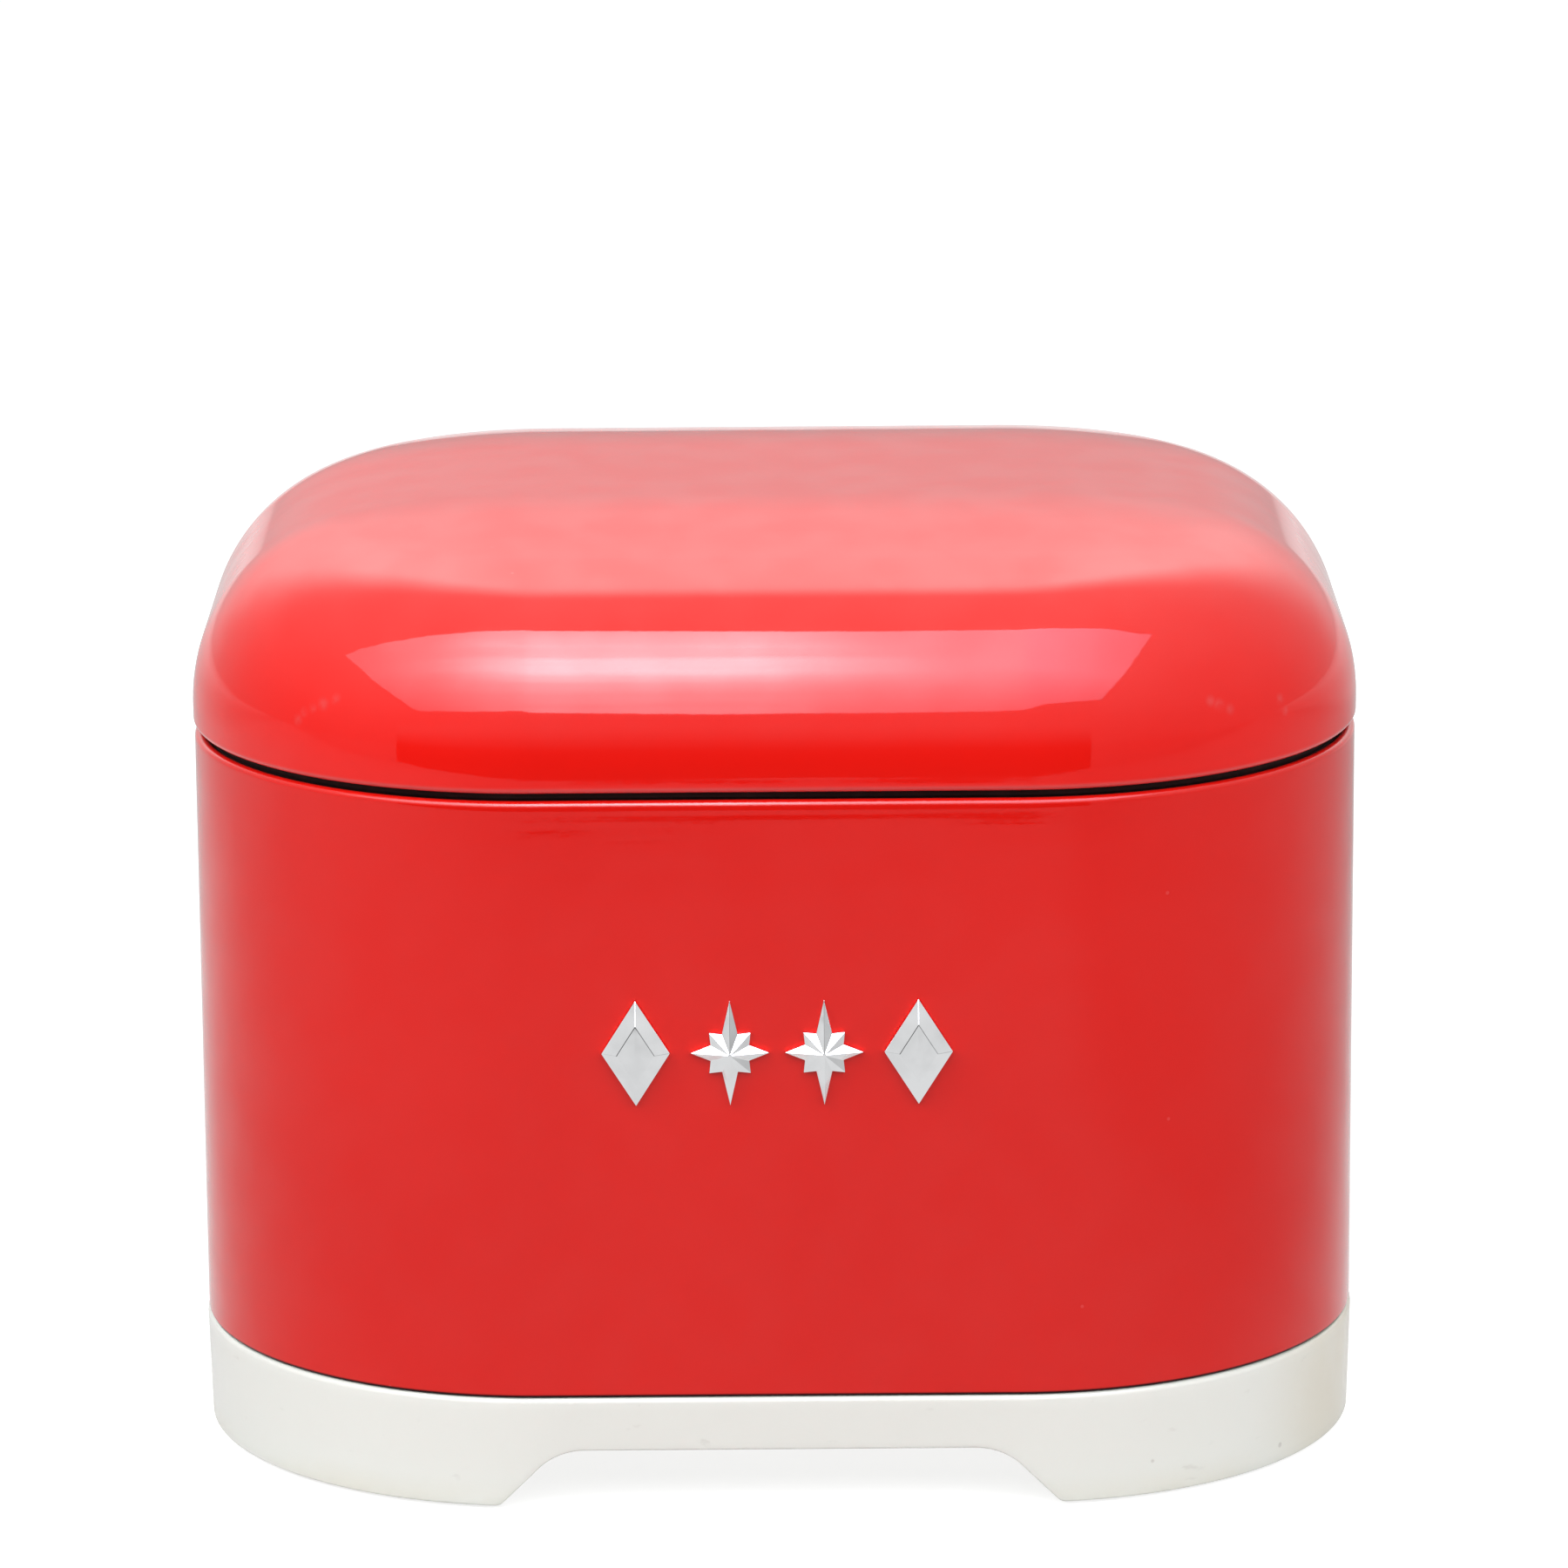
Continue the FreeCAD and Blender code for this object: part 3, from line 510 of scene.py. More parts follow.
def red_enamel(colours):
    """Sprayed gloss enamel: a lighter red on the lid, faint clouds and haze, orange peel, ripples,
    nibs and scuffs, with painted shade and less gloss in the joint above the plinth and a painted
    highlight along the lid's lower edge.
    """

    def build(f):
        cloud = f.span(f.noise(11.0, 1.0), 0.3, 0.7)
        # The lid takes a lighter copy of the body's red.
        is_lid = f.maths("GREATER_THAN", f.axis("Z"), LID_LOW.z - 0.2 * MM)
        lid_tone = f.blend(cloud, colours.enamel_lid_lighter,
                           [0.95 * value for value in colours.enamel_lid_lighter])
        tone = f.blend(is_lid, f.blend(cloud, colours.enamel, colours.enamel_deep), lid_tone)
        nib = f.span(f.cells(150.0), 0.05, 0.09, 1.0, 0.0)
        chosen = f.span(f.cells(150.0, "Color"), 0.86, 0.88)
        nib = f.maths("MULTIPLY", nib, chosen)
        tone = f.blend(f.maths("MULTIPLY", nib, 0.5), tone, colours.enamel_scuff_and_highlight)
        smudge = f.span(f.noise(300.0, 2.0), 0.35, 0.6, 0.15, 0.6)
        worn = 0.0
        for spot, reach in SMUDGES:
            worn = f.maths("MAXIMUM", worn, f.near(spot, reach))
        worn = f.maths("MULTIPLY", worn, smudge)
        # Painted highlight: a pinker band along the lid's lower edge, in place of the bright
        # reflection on the lip's bend.
        edge = f.maths("ABSOLUTE", f.maths("SUBTRACT", f.axis("Z"), LID_LOW.z))
        edge = f.span(edge, 0.9 * MM, 1.8 * MM, 0.75, 0.0)
        tone = f.blend(f.maths("MAXIMUM", worn, edge), tone, colours.enamel_scuff_and_highlight)
        ripple = f.noise(1.0, 2.0, f.stretched((9.0, 9.0, 70.0)))
        streak = f.noise(1.0, 1.0, f.stretched((6.0, 6.0, 420.0)))
        peel = f.noise(480.0, 2.0)
        normal = f.bump(ripple, 0.00008)
        normal = f.bump(streak, 0.000012, normal)
        normal = f.bump(peel, 0.000004, normal)
        normal = f.bump(nib, 0.000012, normal)
        # Painted shade in the joint above the plinth: the red turns near black there and loses its
        # gloss.
        joint = f.span(f.axis("Z"), WALL_LOW.z + 0.5 * MM, WALL_LOW.z + 1.1 * MM, 1.0, 0.0)
        tone = f.blend(joint, tone, colours.painted_joint_shade)
        haze = f.span(f.noise(70.0, 3.0), 0.32, 0.68, 0.88, 1.0)
        gloss = f.maths("MULTIPLY", haze, f.maths("SUBTRACT", 1.0, joint))
        return f.surface(Base_Color=tone, Roughness=0.3, Specular_IOR_Level=0.03,
                         Coat_Weight=gloss, Coat_Roughness=0.035,
                         Coat_IOR=1.4, Normal=normal, Coat_Normal=normal)

    return finish_once("glossy_red_enamel", build)


def cream_plastic(colours):
    """Glossy moulded plastic, yellowed along its foot and right end, with a few faint marks."""

    def build(f):
        height = f.axis("Z")
        patch = f.noise(26.0, 4.0)
        low = f.span(height, 0.001, 0.009, 1.0, 0.0)
        aged = f.maths("MULTIPLY", low, f.span(patch, 0.38, 0.66, 0.04, 0.40))
        end = f.maths("MULTIPLY", f.span(f.axis("X"), 0.112, 0.142),
                      f.span(patch, 0.3, 0.6, 0.5, 0.9))
        tone = f.blend(f.maths("MAXIMUM", aged, end), colours.cream, colours.cream_aged)
        mark = f.span(f.noise(95.0, 5.0, f.stretched((1.0, 1.0, 2.2))), 0.66, 0.76)
        tone = f.blend(f.maths("MULTIPLY", mark, 0.30), tone, colours.cream_mark)
        speck = f.span(f.cells(130.0), 0.06, 0.11, 1.0, 0.0)
        speck = f.maths("MULTIPLY", speck, f.span(f.cells(130.0, "Color"), 0.80, 0.82, 0.0, 0.5))
        tone = f.blend(speck, tone, colours.cream_mark)
        normal = f.bump(f.noise(22.0, 2.0), 0.00012)
        normal = f.bump(f.noise(900.0, 1.0), 0.000003, normal)
        return f.surface(Base_Color=tone, Roughness=0.2, IOR=1.5, Normal=normal)

    return finish_once("moulded_cream_plastic", build)


def chrome_plate(colours):
    """Bright plating with faint clouds and soft waves."""

    def build(f):
        tone = f.blend(f.span(f.noise(160.0, 2.0), 0.35, 0.7),
                       colours.chrome, [0.93 * value for value in colours.chrome])
        normal = f.bump(f.noise(110.0, 1.0), 0.0002)
        return f.surface(Base_Color=tone, Metallic=1.0, Roughness=0.07, Normal=normal)

    return finish_once("bright_chrome_plate", build)


def tinplate(colours):
    """Lacquered tinplate: rolling streaks, pale crystal spangle and a soft shine."""

    def build(f):
        streak = f.noise(60.0, 4.0, f.stretched((1.0, 1.0, 9.0)))
        spangle = f.cells(85.0, "Color")
        tone = f.blend(f.span(streak, 0.3, 0.7), colours.tinplate,
                       [0.86 * value for value in colours.tinplate])
        tone = f.blend(f.span(spangle, 0.0, 1.0, 0.0, 0.10), tone, (0.80, 0.78, 0.72))
        normal = f.bump(streak, 0.00001)
        return f.surface(Base_Color=tone, Metallic=0.85, Roughness=0.34, Normal=normal,
                         Coat_Weight=0.35, Coat_Roughness=0.18)

    return finish_once("lacquered_tinplate", build)


def dark_rubber(colours):
    """Matt black rubber with a dusty grain."""

    def build(f):
        grain = f.noise(1500.0, 2.0)
        dust = f.span(f.noise(130.0, 4.0), 0.45, 0.75, 0.0, 0.35)
        tone = f.blend(dust, colours.rubber, [3.0 * value for value in colours.rubber])
        return f.surface(Base_Color=tone, Roughness=0.72, Specular_IOR_Level=0.2,
                         Normal=f.bump(grain, 0.00002))

    return finish_once("dusty_dark_rubber", build)


def zinc_steel(colours):
    """Zinc-plated steel: a faint blue-grey spangle and dulled patches."""

    def build(f):
        spangle = f.cells(900.0, "Color")
        dull = f.noise(320.0, 3.0)
        tone = f.blend(f.span(spangle, 0.2, 0.9), colours.zinc,
                       [0.82 * value for value in colours.zinc])
        return f.surface(Base_Color=tone, Metallic=1.0, Roughness=0.35,
                         Normal=f.bump(dull, 0.00001))

    return finish_once("zinc_plated_steel", build)


def lid_skin(sizes, depth, fine):
    """Section of the lid, this far inside its outer face, from the lip's bend to the flat middle.

    Four arcs that share their tangents: the lip's bend, the lip, the shoulder and the crown.
    """
    tuck, drop, bend = sizes.lip_tuck, sizes.lip_height, sizes.lip_round
    shoulder, rise, overhang = sizes.shoulder_radius, sizes.crown_rise, sizes.lid_overhang
    lip = (drop ** 2 + tuck ** 2) / (2 * tuck)
    lip_start = -math.degrees(math.asin(drop / lip))
    bend_inset = tuck - overhang + bend * (lip - tuck) / lip
    widest = sizes.lid_edge + drop + bend - bend * drop / lip
    top = widest + shoulder + rise
    reach = sizes.core_inset - shoulder + overhang
    crown = (reach ** 2 + 2 * shoulder * rise + rise ** 2) / (2 * rise)
    shoulder_end = 90 - math.degrees(math.asin(reach / (crown - shoulder)))
    return join(
        bow(bend_inset, sizes.lid_edge + bend, bend - depth, -90, lip_start, 3 * fine),
        bow(lip - overhang, widest, lip - depth, lip_start, 0, 3 * fine),
        bow(shoulder - overhang, widest, shoulder - depth, 0, shoulder_end, 20 * fine),
        bow(sizes.core_inset, top - crown, crown - depth, shoulder_end, 90, 8 * fine),
    )


PLATE_SHARES = (0.92, 0.78, 0.58, 0.36, 0.14)


class TIN_OT_lid(bpy.types.Operator):
    """Build the domed lid: red outside, tinplate inside, with its turned-in lip"""

    bl_idname = "tin.lid"
    bl_label = "Domed lid"

    def execute(self, context):
        sizes, colours = context.scene.tin_sizes, context.scene.tin_colours
        inside = lid_skin(sizes, sizes.steel, 1)[::-1]
        flange_top = (sizes.lip_flange, sizes.lid_edge + sizes.steel)
        flange_foot = (sizes.lip_flange, sizes.lid_edge)
        section = join(inside, flange_top, flange_foot, lid_skin(sizes, 0.0, 3))
        plan = plan_at(sizes, plan_columns(sizes, 5 * MM, 1.35 * MM))
        grid = plated(carry_section(plan, section), PLATE_SHARES)
        inner_rows = len(inside) + len(PLATE_SHARES)
        finish = (np.arange(len(grid)) < inner_rows).astype(int)
        skin = Skin()
        skin.add_grid(grid, finish=finish, first_pole=(0, 0, grid[0, 0, 2]),
                      last_pole=(0, 0, grid[-1, 0, 2]))
        skin.make("lid_dome", [red_enamel(colours), tinplate(colours)], "lid",
                  ["lid_shell"])
        return {"FINISHED"}


class TIN_OT_lid_fittings(bpy.types.Operator):
    """Build the collar that locates the lid and the rubber seal under its lip"""

    bl_idname = "tin.lid_fittings"
    bl_label = "Collar and seal"

    def execute(self, context):
        sizes, colours = context.scene.tin_sizes, context.scene.tin_colours
        plan = plan_at(sizes, plan_columns(sizes, 8 * MM, 2.5 * MM))
        steel, face, rim = sizes.steel, sizes.collar_face, sizes.rim

        under = sizes.lid_edge + steel
        bend = 2 * steel
        taper, lead, soft = sizes.collar_taper, sizes.collar_lead, 0.8 * MM
        foot = rim - sizes.collar_drop
        flange_edge = sizes.lip_tuck + sizes.lip_round + sizes.flange_clearance
        bend_at = (face + steel - bend, under + steel - bend)
        collar = join(
            run((flange_edge, under), (flange_edge, under + steel)),
            bow(*bend_at, bend, 90, 180, 8),
            soften([(face + steel, bend_at[1]), (face + steel, foot + taper),
                    (face + steel + lead, foot)], soft),
            soften([(face + lead, foot), (face, foot + taper), (face, bend_at[1])], soft),
            bow(*bend_at, bend - steel, 180, 90, 6),
        )
        skin = Skin()
        skin.add_grid(carry_section(plan, collar), ring=True)
        skin.make("lid_locating_collar", [tinplate(colours)], "lid", ["lid_collar"])

        wall, bead = sizes.seal_wall, sizes.seal_bead
        leg = rim + sizes.seal_clearance
        seal = join(
            run((face, rim - sizes.seal_drop), (face - wall, rim - sizes.seal_drop)),
            bow(face - wall, rim - sizes.curl_radius, bead, -90, 90, 10),
            run((face - wall, leg), (sizes.seal_edge, leg)),
            run((sizes.seal_edge, sizes.lid_edge), (face, sizes.lid_edge)),
        )
        skin = Skin()
        skin.add_grid(carry_section(plan, seal), ring=True)
        skin.make("lid_rubber_seal", [dark_rubber(colours)], "lid", ["lid_seal"])
        return {"FINISHED"}


class TIN_OT_body(bpy.types.Operator):
    """Build the body wall: rolled rim, folded hem and the lapped seam at the back"""

    bl_idname = "tin.body"
    bl_label = "Body wall"

    def execute(self, context):
        sizes, colours = context.scene.tin_sizes, context.scene.tin_colours
        steel, curl, rim, gap = sizes.steel, sizes.curl_radius, sizes.rim, sizes.hem_gap
        fold = steel + gap / 2
        fold_level = sizes.plinth_top + fold
        hem_top = sizes.plinth_top + sizes.hem_depth
        lap_foot = hem_top + sizes.panel_lift + 2 * steel
        lap_top = rim - 2 * curl - steel
        hair = 0.05 * MM
        support = 0.8 * MM
        outer = join((0, fold_level),
                     run((0, fold_level + support), (0, rim - curl - support), 24),
                     (0, rim - curl))
        roll_steps, painted_steps = 36, 34
        roll = join(bow(curl, rim - curl, curl, 0, 270, roll_steps),
                    bow(curl, rim - curl, curl - steel, 270, 0, 24))
        inner = join(run((steel, lap_top + hair), (steel, lap_top)),
                     run((steel, lap_top), (steel, lap_foot), 12),
                     run((steel, lap_foot - hair), (steel, fold_level)))
        hem = join(bow(fold, fold_level, gap / 2, 0, -180, 10),
                   run((steel + gap, hem_top), (2 * fold, hem_top)),
                   bow(fold, fold_level, fold, -180, 0, 20))
        section = join(outer, roll, inner, hem)

        across, _, knots = plan_runs(sizes)
        back = knots[2] + across
        reach = sizes.lap_width / 2
        line = np.array([-0.5, -0.3, -0.2, -0.1, 0.0, 0.1, 0.2, 0.3, 0.5]) * MM
        ends = np.array([-reach - hair, -reach, reach, reach + hair])
        columns = plan_columns(sizes, 5 * MM, 1.35 * MM,
                               np.concatenate([back + reach + line, back + ends]))
        plan = plan_at(sizes, columns)
        groove = sizes.seam_depth * np.exp(-((columns - back - reach) / sizes.seam_spread) ** 2)
        lap = np.where(np.abs(columns - back) <= reach + hair / 2, steel, 0.0)
        depth, height = section.T
        groove_fade = 2 * MM
        fade = np.clip((rim - curl - height) / groove_fade, 0, 1)
        outside = (depth < TOUCHING) * fade
        inside = np.abs(depth - steel) < TOUCHING
        inside = inside & (height <= lap_top + TOUCHING) & (height >= lap_foot - TOUCHING)
        inset = section[:, :1] + outside[:, None] * groove + inside[:, None] * lap
        rows = np.arange(len(section))
        finish = (rows >= len(outer) + painted_steps).astype(int)
        finish[(height < fold_level - TOUCHING) | (depth < TOUCHING)] = 0
        skin = Skin()
        skin.add_grid(carry(plan, inset, section[:, 1:]), ring=True, finish=finish)
        skin.make("body_shell", [red_enamel(colours), tinplate(colours)], "tin",
                  ["body_wall"])
        return {"FINISHED"}


class TIN_OT_bottom(bpy.types.Operator):
    """Build the pressed bottom panel with its raised field"""

    bl_idname = "tin.bottom"
    bl_label = "Bottom panel"

    def execute(self, context):
        sizes, colours = context.scene.tin_sizes, context.scene.tin_colours
        steel, bend, border = sizes.steel, sizes.panel_bend, sizes.panel_border
        edge = steel + (sizes.hem_gap - steel) / 2
        under = sizes.plinth_top + sizes.hem_depth + sizes.panel_lift
        field = under + sizes.panel_raise
        slope_end = border + sizes.panel_raise
        flange_foot = sizes.plinth_top + steel + sizes.hem_gap / 2
        bend_at = (edge + bend, under + steel - bend)
        mitre, soft = steel * MITRE, 1.2 * MM
        below = soften([(sizes.core_inset, field), (slope_end, field), (border, under),
                        (edge + bend, under)], soft, 5)
        above = soften([(edge + bend, under + steel), (border - mitre, under + steel),
                        (slope_end - mitre, field + steel),
                        (sizes.core_inset, field + steel)], soft, 5)
        section = join(below, bow(*bend_at, bend - steel, 90, 0, 6),
                       run((edge + steel, flange_foot), (edge, flange_foot)),
                       bow(*bend_at, bend, 0, 90, 8), above)
        plan = plan_at(sizes, plan_columns(sizes, 8 * MM, 2.5 * MM))
        grid = plated(carry_section(plan, section), PLATE_SHARES)
        skin = Skin()
        skin.add_grid(grid, first_pole=(0, 0, grid[0, 0, 2]), last_pole=(0, 0, grid[-1, 0, 2]))
        skin.make("bottom_panel", [tinplate(colours)], "tin", ["body_bottom"])
        return {"FINISHED"}


def arch_level(sizes, distance, half):
    """Height of the plinth's lower edge at a distance from the middle of one opening.

    From the middle out: a flat top, an arc down to a 45 degree slope, an arc out of it and the flat
    foot. On the arcs the height is the centre's height plus or minus sqrt(radius^2 - offset^2).
    """
    rise, upper, toe = sizes.arch_rise, sizes.arch_top_round, sizes.arch_toe_round
    foot = sizes.plinth_edge
    flat_end = half - rise - upper * MITRE
    slope_start = half - rise + upper * MITRE * DIAGONAL
    slope_end = half - toe * MITRE * DIAGONAL
    toe_end = half + toe * MITRE
    top_offset = np.clip(distance - flat_end, 0, upper)
    toe_offset = np.clip(toe_end - distance, 0, toe)
    top_arc = foot + rise - upper + np.sqrt(upper ** 2 - top_offset ** 2)
    toe_arc = foot + toe - np.sqrt(toe ** 2 - toe_offset ** 2)
    return np.select([distance < slope_start, distance < slope_end, distance < toe_end],
                     [top_arc, foot + half - distance, toe_arc], foot)


class TIN_OT_plinth(bpy.types.Operator):
    """Build the moulded plinth: arched wall, ledge, inner ring and screw bosses"""

    bl_idname = "tin.plinth"
    bl_label = "Plinth"

    def execute(self, context):
        sizes, colours = context.scene.tin_sizes, context.scene.tin_colours
        top, proud, wall = sizes.plinth_top, sizes.plinth_proud, sizes.plinth_wall
        rounding, soft = sizes.shoulder_round, sizes.edge_round
        foot_inset = sizes.plinth_draft - proud
        under = top - sizes.shoulder_thick
        spigot, spigot_in = sizes.spigot_face, sizes.spigot_face + sizes.spigot_wall
        spigot_top = top + sizes.spigot_height

        # Each row has an inset, a height and a share of the lower edge's height.
        rise = np.linspace(0.0, 1.0, 13)
        outer = np.stack([foot_inset - (foot_inset + proud) * rise,
                          soft * (1 - rise) + (top - rounding) * rise, 1 - rise], axis=-1)
        upper = join(bow(rounding - proud, top - rounding, rounding, 0, 90, 8),
                     soften([(rounding - proud, top), (spigot, top), (spigot, spigot_top),
                             (spigot_in, spigot_top), (spigot_in, under),
                             (wall - proud, under)], 0.3 * MM, 3))
        upper = np.column_stack([upper, np.zeros(len(upper))])[1:]
        inner = outer[::-1] + (wall, 0, 0)
        inner[:, 1] = (soft + (under - soft) * rise)[::-1]
        inner[:, 1] -= soft * rise[::-1]
        edge = join(bow(foot_inset + wall - soft, soft, soft, -180, -90, 4),
                    bow(foot_inset + soft, soft, soft, -90, 0, 4))
        edge = np.column_stack([edge, np.ones(len(edge))])[1:-1]
        rows = np.concatenate([outer, upper, inner[1:], edge])

        plan = plan_at(sizes, plan_columns(sizes, 0.55 * MM, 0.6 * MM))
        grid = carry(plan, rows[:, :1], rows[:, 1:2])
        facing_front = np.abs(plan[1][:, 1]) > np.abs(plan[1][:, 0])
        edge_level = np.where(
            facing_front,
            arch_level(sizes, np.abs(grid[..., 0]), sizes.front_arch_half),
            arch_level(sizes, np.abs(grid[..., 1]), sizes.side_arch_half))
        grid[..., 2] += rows[:, 2:] * edge_level
        skin = Skin()
        skin.add_grid(grid, ring=True)

        head, web_under, nut_under = 1.6 * MM, 25.7 * MM, 29.7 * MM
        bore, hole, nose, sharp = 5.1 * MM, 2.25 * MM, 5.6 * MM, 0.3 * MM
        boss_top = top - sizes.shoulder_thick / 2
        boss = soften([(hole, web_under), (bore, web_under), (bore, head),
                       (sizes.boss_radius, head), (sizes.boss_radius, boss_top),
                       (nose, boss_top), (nose, nut_under), (hole, nut_under)],
                      sharp, 3, closed=True)
        boss_inset = foot_inset + wall + sizes.foot_clearance + sizes.foot_radius
        reach = sizes.corner_radius - boss_inset
        boss_x = sizes.body_width / 2 - sizes.corner_radius + reach * DIAGONAL
        boss_y = sizes.body_depth / 2 - sizes.corner_radius + reach * DIAGONAL
        for side_x in (-1, 1):
            for side_y in (-1, 1):
                skin.add_grid(turned(boss, (boss_x * side_x, boss_y * side_y)), ring=True)
        skin.make("moulded_plinth", [cream_plastic(colours)], "tin", ["plinth"])
        return {"FINISHED"}


def lozenge(sizes):
    """Corners of a lozenge round its middle."""
    wide, tall = sizes.lozenge_half_width, sizes.badge_half_height
    return np.array([(wide, 0), (0, tall), (-wide, 0), (0, -tall)])


def starburst(sizes):
    """Corners of an eight-ray starburst: ray lengths and notches in turn round the circle."""
    ray = [sizes.star_half_width, sizes.star_short_ray, sizes.badge_half_height,
           sizes.star_short_ray]
    reach = np.column_stack([ray * 2, np.full(8, sizes.star_root)]).reshape(-1)
    turn = np.radians(22.5) * np.arange(16)
    return np.stack([reach * np.cos(turn), reach * np.sin(turn)], axis=-1)


def facets(corners, tiers, middle_x, front, middle_z):
    """Rows of a faceted ornament.

    Each row is the outline times a share, standing this far in front of the wall.
    """
    tiers = np.array(tiers)
    across = middle_x + corners[None, :, 0] * tiers[:, :1]
    up = middle_z + corners[None, :, 1] * tiers[:, :1]
    out = np.broadcast_to(front - tiers[:, 1:], across.shape)
    return np.stack([across, out, up], axis=-1)


class TIN_OT_ornaments(bpy.types.Operator):
    """Build the four plated ornaments on the front, each with two pins through the wall"""

    bl_idname = "tin.ornaments"
    bl_label = "Front ornaments"

    def execute(self, context):
        sizes, colours = context.scene.tin_sizes, context.scene.tin_colours
        front = -sizes.body_depth / 2
        edge, pin_start = sizes.badge_edge, 0.02 * MM
        tip, table = 0.06, 0.56
        kinds = {
            "lozenge": (lozenge(sizes), [(1, 0), (1, edge), (table, edge + 2.3 * MM),
                                         (tip, edge + 2.5 * MM)]),
            "star": (starburst(sizes), [(1, 0), (1, edge), (tip, edge + 2.6 * MM)]),
        }
        order = [("lozenge", "left", -1.5), ("star", "left", -0.5),
                 ("star", "right", 0.5), ("lozenge", "right", 1.5)]
        for kind, side, step in order:
            corners, tiers = kinds[kind]
            middle = sizes.badge_pitch * step
            rows = facets(corners, tiers, middle, front, sizes.badge_level)
            skin = Skin()
            skin.add_grid(rows, first_pole=(middle, front, sizes.badge_level),
                          last_pole=(middle, rows[-1, 0, 1], sizes.badge_level))
            pin = np.array([(sizes.pin_radius, pin_start), (sizes.pin_radius, sizes.pin_end)])
            for lift in (-sizes.pin_half_pitch, sizes.pin_half_pitch):
                bar = turned(pin, columns=16)
                bar = np.stack([bar[..., 0] + middle, bar[..., 2] + front,
                                -bar[..., 1] + sizes.badge_level + lift], axis=-1)
                skin.add_grid(bar, first_pole=bar[0].mean(axis=0),
                              last_pole=bar[-1].mean(axis=0))
            piece = skin.make(f"ornament_{kind}_{side}", [chrome_plate(colours)], "tin",
                              [f"badge_{kind}_{side}"], ORNAMENT_SHARP)
            bevel = piece.modifiers.new("worn_edges", "BEVEL")
            bevel.width = 0.16 * MM
            bevel.segments = 2
            bevel.limit_method = "ANGLE"
            bevel.angle_limit = ORNAMENT_BEVEL
            bevel.harden_normals = True
        return {"FINISHED"}


class TIN_OT_hardware(bpy.types.Operator):
    """Finish the rubber feet, the screws, the weld nuts and the push nuts"""

    bl_idname = "tin.hardware"
    bl_label = "Feet and fasteners"

    def execute(self, context):
        colours = context.scene.tin_colours
        feet = [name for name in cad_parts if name.startswith("foot_")]
        fasteners = ["badge_push_nuts", "plinth_screws", "weld_nuts"]
        for names, finish in ((feet, dark_rubber), (fasteners, zinc_steel)):
            for name in names:
                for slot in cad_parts[name].material_slots:
                    slot.material = finish(colours)
        return {"FINISHED"}


STAGE_HALF = 14.0
CARD_LIFT = 0.0005
FLOOR_WHITE_REACH = 2.0
DARK_CARD_LOW, DARK_CARD_HIGH, DARK_CARD_Y = (-0.82, 0.0), (0.40, 0.39), -0.812
GREY_RIGHT = 0.74


def sheet(name, points, material, pattern=None):
    """A flat stage sheet with these corners; a pattern, if given, is its UV map."""
    mesh = bpy.data.meshes.new(name)
    mesh.from_pydata(points, [], [list(range(len(points)))])
    mesh.materials.append(material)
    if pattern is not None:
        mesh.uv_layers.new(name="pattern").data.foreach_set("uv", np.array(pattern).reshape(-1))
    made = bpy.data.objects.new(name, mesh)
    bpy.context.scene.collection.objects.link(made)
    return made


def rectangle(low, high, place):
    """Corners of a rectangle; place turns a pair of coordinates into a point."""
    corners = [(low[0], low[1]), (high[0], low[1]), (high[0], high[1]), (low[0], high[1])]
    return [place(*corner) for corner in corners]


def floor_material(studio):
    """Pale matt floor, lifted to white for the camera, gloss and glass, that keeps shadows."""
    f = Finish("studio_floor")
    path = f.node("ShaderNodeLightPath").outputs
    seen = f.maths("ADD", path["Is Camera Ray"], path["Is Glossy Ray"])
    seen = f.maths("ADD", seen, path["Is Transmission Ray"])
    matt = f.node("ShaderNodeBsdfDiffuse", Color=(*studio.floor, 1.0))
    lift = f.near((0.0, 0.0, 0.0), FLOOR_WHITE_REACH)
    lift = f.span(lift, 0.0, 1.0, studio.floor_far, studio.floor_glow, smooth=False)
    glow = f.node("ShaderNodeEmission", Color=(1.0, 1.0, 1.0, 1.0),
                  Strength=f.maths("MULTIPLY", seen, lift))
    both = f.node("ShaderNodeAddShader")
    f.feed(both.inputs[0], matt.outputs[0])
    f.feed(both.inputs[1], glow.outputs[0])
    f.node("ShaderNodeOutputMaterial", Surface=both.outputs[0])
    return f.material


# Brightness of the grey card along Y and of the dark card upwards, for gloss alone.
FLOOR_CARD = ((-4.0, 0.62), (-0.95, 0.60), (-0.90, 0.51), (-0.60, 0.76), (-0.30, 0.80),
              (0.35, 0.76), (0.65, 0.62), (1.00, 0.64), (1.50, 0.74), (2.50, 0.90), (14.0, 0.52))
FRONT_CARD = ((0.10, 0.0), (0.18, 0.04), (0.217, 0.16), (0.254, 0.38), (0.30, 0.60), (0.345, 0.78),
              (0.39, 0.86))


def card_material(name, axis, marks, strength, right=1.0):
    """A card whose brightness changes along one axis; in front it fades to a share on the right."""
    f = Finish(name)
    fade = f.maths("MULTIPLY", f.span(f.axis("X"), 0.16, 0.36),
                   f.span(f.axis("Y"), 0.55, 0.85, 1.0, 0.0))
    share = f.span(fade, 0.0, 1.0, 1.0, right, smooth=False)
    glow = f.node("ShaderNodeEmission", Color=f.stops(f.axis(axis), marks),
                  Strength=f.maths("MULTIPLY", share, strength))
    f.node("ShaderNodeOutputMaterial", Surface=glow.outputs[0])
    return f.material


